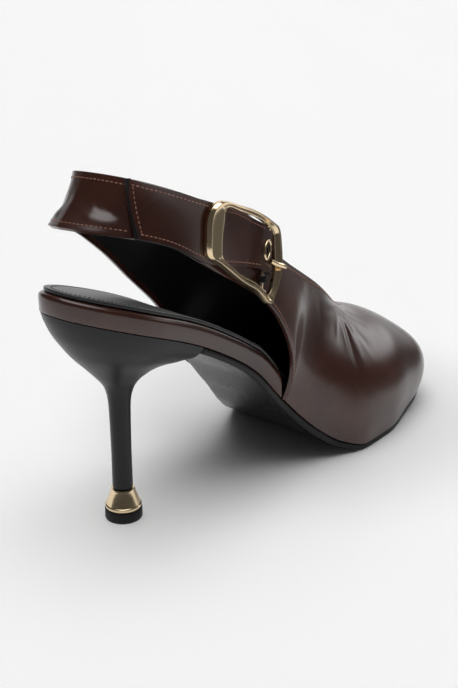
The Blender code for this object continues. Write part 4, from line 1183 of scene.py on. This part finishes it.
# Stitches
stitch = {
    "pitch": 1.5 * mm,
    "length": 1.1 * mm,
    "radius": 0.21 * mm,
    "fromEdge": 2.0 * mm,
    "sides": 8,
    "strapRows": (0.085, 0.915),    # heights across the strap
    "endRow": 0.032,                # place along the strap
    "sockIn": 2.4 * mm,
    "sockReach": 95 * mm,
}
# Half of the upper, first and last rib, and whether the seam follows the upper edge
seams = (
    (outerHalf, 6.2, 12.95, True),
    (outerHalf, 9.25, 13.1, False),
    (outerHalf, 17.35, 19, True),
    (outerHalf, 17.15, 19, False),
    (innerHalf, 6.2, 19, True),
    (innerHalf, 9.25, 19, False),
)
# A stitch from end to end: place on its half length, thickness
stitchShape = (
    (-1.0, 0.02), (-0.93, 0.55), (-0.7, 0.92), (0.0, 1.0), (0.7, 0.92), (0.93, 0.55), (1.0, 0.02),
)


def addStitches(name, rows, mat, slot):
    # each row is a path of points with the normals there
    verts, faces = [], []
    turn = np.arange(stitch["sides"])[:, None] / stitch["sides"] * 2 * math.pi
    for points, normals in rows:
        run = runOf(points)
        at = lambda q, rows: np.array([np.interp(q, run, rows[:, k]) for k in range(3)])
        count = int(run[-1] / stitch["pitch"])
        for middle in (np.arange(count) + 0.5) / count * run[-1]:
            rings = []
            for place, share in stitchShape:
                q = middle + place * stitch["length"] / 2
                n = unit(at(q, normals))
                t = unit(at(q + 0.1 * mm, points) - at(q - 0.1 * mm, points))
                sink = stitch["radius"] * (0.1 - 0.75 * abs(place) ** 4)
                spread = np.cos(turn) * np.cross(n, t) + np.sin(turn) * n
                rings.append(at(q, points) + sink * n + stitch["radius"] * share * spread)
            made = ringMesh(rings, len(verts))
            verts += made[0]
            faces += made[1]
    addPiece(name, verts, faces, [mat], None, slot, 60, weld=0)


def makeStitches():
    rows = []
    for half, first, end, top in seams:
        u = np.linspace(first, end, 260)
        rows.append(riseAt(u, heightFrom(half, u, stitch["fromEdge"], top), 0, half))
    addStitches("upper_stitches", rows, stitchThread, "brown_leather")
    s = np.linspace(0.02, 0.90, 200)
    places = [strapPlace(s, h + 0 * s) for h in stitch["strapRows"]]
    h = np.linspace(0.09, 0.91, 60)
    places.append(strapPlace(stitch["endRow"] + 0 * h, h))
    rows = [riseAt(u, v, strapRise(u, v) + strap["thick"]) for u, v in places]
    addStitches("strap_stitches", rows, stitchThread, "brown_leather")
    inset = bottom["sockInset"] + stitch["sockIn"]
    x = last["heelBack"] + inset + stitch["sockReach"] * (1 - np.cos(np.linspace(0, math.pi / 2, 200)))
    rise = boardTop(x) + gap + bottom["sockThick"]
    n = unit(np.stack([-boardSlope(x), 0 * x, 1 + 0 * x], 1))
    rows = [(offBoard(x, edgeY(x, side, inset), rise), n) for side in (-1, 1)]
    addStitches("sock_stitches", rows, blackThread, "black_lining")


makeStitches()
print("stitches made")

# Camera at the photograph's angle
view = {
    "azimuth": -49.05,
    "elevation": 21.48,
    "place": (-0.23865, -0.25868, 0.20591),
    "lens": 56.51,
    "sensor": 36,
}


def makeCamera():
    data = bpy.data.cameras.new("camera")
    data.sensor_width = data.sensor_height = view["sensor"]
    data.lens = view["lens"]
    data.clip_start, data.clip_end = 0.01, 20
    ob = bpy.data.objects.new("camera", data)
    bpy.context.scene.collection.objects.link(ob)
    a, e = math.radians(view["azimuth"]), math.radians(view["elevation"])
    back = Vector((math.sin(a) * math.cos(e), -math.cos(a) * math.cos(e), math.sin(e)))
    ob.rotation_mode = "QUATERNION"
    ob.rotation_quaternion = (-back).to_track_quat("-Z", "Y")
    ob.location = view["place"]
    bpy.context.scene.camera = ob


# Studio: pale floor, a broad overhead light and dim walls
studio = {
    "floorHalf": 6,
    "floorColour": (0.76, 0.76, 0.76),
    "paintedReflectionDark": (0.08, 0.08, 0.08),      # painted dark reflection: what the gloss sees off to the right, ahead of the toe
    "darkAcross": (0.86, 0.50, -0.122),   # x share, y share and offset of the distance into the painted dark reflection
    "darkBeside": (0.46, -0.888, -0.140),
    "darkSoft": (-0.01, 0.05),
    "walls": 0.07,
    "background": 0.9,                    # what the camera sees past the floor
    "floorGlow": (0.0, 0.31),             # lights the shadows, more so away from the forefoot
    "glowAt": (0.12, 0.01, 0.0),
    "glowFrom": (0.04, 0.12),
    "ceiling": 3.25,
    "ceilingFrom": (0.82, 0.96),          # height of a direction where the ceiling's light sets in
    "backdrop": 0.9,                      # pale sweep behind the shoe
    "backdropSide": (0.755, 0.656, 0.0),
    "backdropFrom": (0.55, 0.92),
    "strip": 2.9,                         # low light ahead of the toe, streaks on the vamp
    "stripAt": (0.925, -0.180, 0.335),
    "stripFlat": (1, 1, 3.0),
    "stripReach": (0.10, 0.62),
    "fillPower": 0.2,
    "fillTilt": (0.12, 0.10, 0),          # radians
    "fillSpread": 70,
}


def mathNode(tree, operation, a, b, kind="ShaderNodeVectorMath"):
    node = addNode(tree, kind, {0: a, 1: b}, operation=operation)
    vector = kind == "ShaderNodeVectorMath" and operation == "MULTIPLY"
    return node.outputs["Vector" if vector else "Value"]


def makeFloor(name, darkColour):
    # darkColour is that of the part ahead of the toe and off to the right; on the mirrored floor it is a
    # painted dark reflection
    r = studio["floorHalf"]
    mesh = bpy.data.meshes.new(name)
    mesh.from_pydata([(-r, -r, 0), (r, -r, 0), (r, r, 0), (-r, r, 0)], [], [(0, 1, 2, 3)])
    mat, tree, shader = nodeMaterial(name, studio["floorColour"], 0.8, specular=0.15)
    mesh.materials.append(mat)
    place = addNode(tree, "ShaderNodeTexCoord").outputs["Object"]
    parts = []
    for key in ("darkAcross", "darkBeside"):
        a, b, offset = studio[key]
        low, high = studio["darkSoft"]
        side = mathNode(tree, "DOT_PRODUCT", place, (a, b, 0))
        parts.append(fade(tree, side, low - offset, high - offset, 0, 1))
    # mask of the painted dark reflection, which only the mirrored floor shows
    dark = mathNode(tree, "MULTIPLY", *parts, "ShaderNodeMath")
    colour = ramp(tree, dark, [(0, studio["floorColour"]), (1, darkColour)])
    far = mathNode(tree, "DISTANCE", place, studio["glowAt"])
    glow = fade(tree, far, *studio["glowFrom"], *studio["floorGlow"])
    setInputs(tree, shader, {"Base Color": colour, "Emission Color": colour, "Emission Strength": glow})
    floor = bpy.data.objects.new(name, mesh)
    bpy.context.scene.collection.objects.link(floor)
    return floor


def makeWorld():
    world = bpy.data.worlds.new("studio")
    bpy.context.scene.world = world
    world.use_nodes = True
    tree = world.node_tree
    away = addNode(tree, "ShaderNodeTexCoord").outputs["Generated"]
    split = addNode(tree, "ShaderNodeSeparateXYZ", {"Vector": away})
    ceiling = fade(tree, split.outputs["Z"], *studio["ceilingFrom"], studio["walls"], studio["ceiling"])
    ahead = mathNode(tree, "DOT_PRODUCT", away, studio["backdropSide"])
    sweep = fade(tree, ahead, *studio["backdropFrom"], 0, studio["backdrop"])
    flat = mathNode(tree, "MULTIPLY", away, studio["stripFlat"])
    middle = tuple(a * b for a, b in zip(studio["stripAt"], studio["stripFlat"]))
    far = mathNode(tree, "DISTANCE", flat, middle)
    strip = fade(tree, far, *studio["stripReach"], studio["strip"], 0)
    both = mathNode(tree, "MAXIMUM", ceiling, sweep, "ShaderNodeMath")
    most = mathNode(tree, "MAXIMUM", both, strip, "ShaderNodeMath")
    path = addNode(tree, "ShaderNodeLightPath")
    seen = addNode(tree, "ShaderNodeMix",
                   {0: path.outputs["Is Camera Ray"], 2: most, 3: studio["background"]})
    setInputs(tree, tree.nodes["Background"], {"Color": (1, 1, 1, 1), "Strength": seen.outputs[0]})


def makeStudio():
    makeFloor("pale_floor", studio["floorColour"]).visible_glossy = False
    # painted reflection: what the gloss of the shoe sees in place of the pale floor, a hair above it, dark
    # ahead of the toe
    mirrored = makeFloor("mirrored_floor", studio["paintedReflectionDark"])
    mirrored.visible_camera = mirrored.visible_diffuse = False
    mirrored.visible_transmission = mirrored.visible_shadow = False
    mirrored.location.z = 0.1 * mm
    makeWorld()
    fill = bpy.data.lights.new("fill", "SUN")
    fill.energy = studio["fillPower"]
    fill.angle = math.radians(studio["fillSpread"])
    ob = bpy.data.objects.new("fill", fill)
    ob.rotation_euler = studio["fillTilt"]
    ob.visible_glossy = False
    bpy.context.scene.collection.objects.link(ob)
    bpy.context.scene.view_settings.view_transform = "Standard"


makeCamera()
makeStudio()
print("studio made")
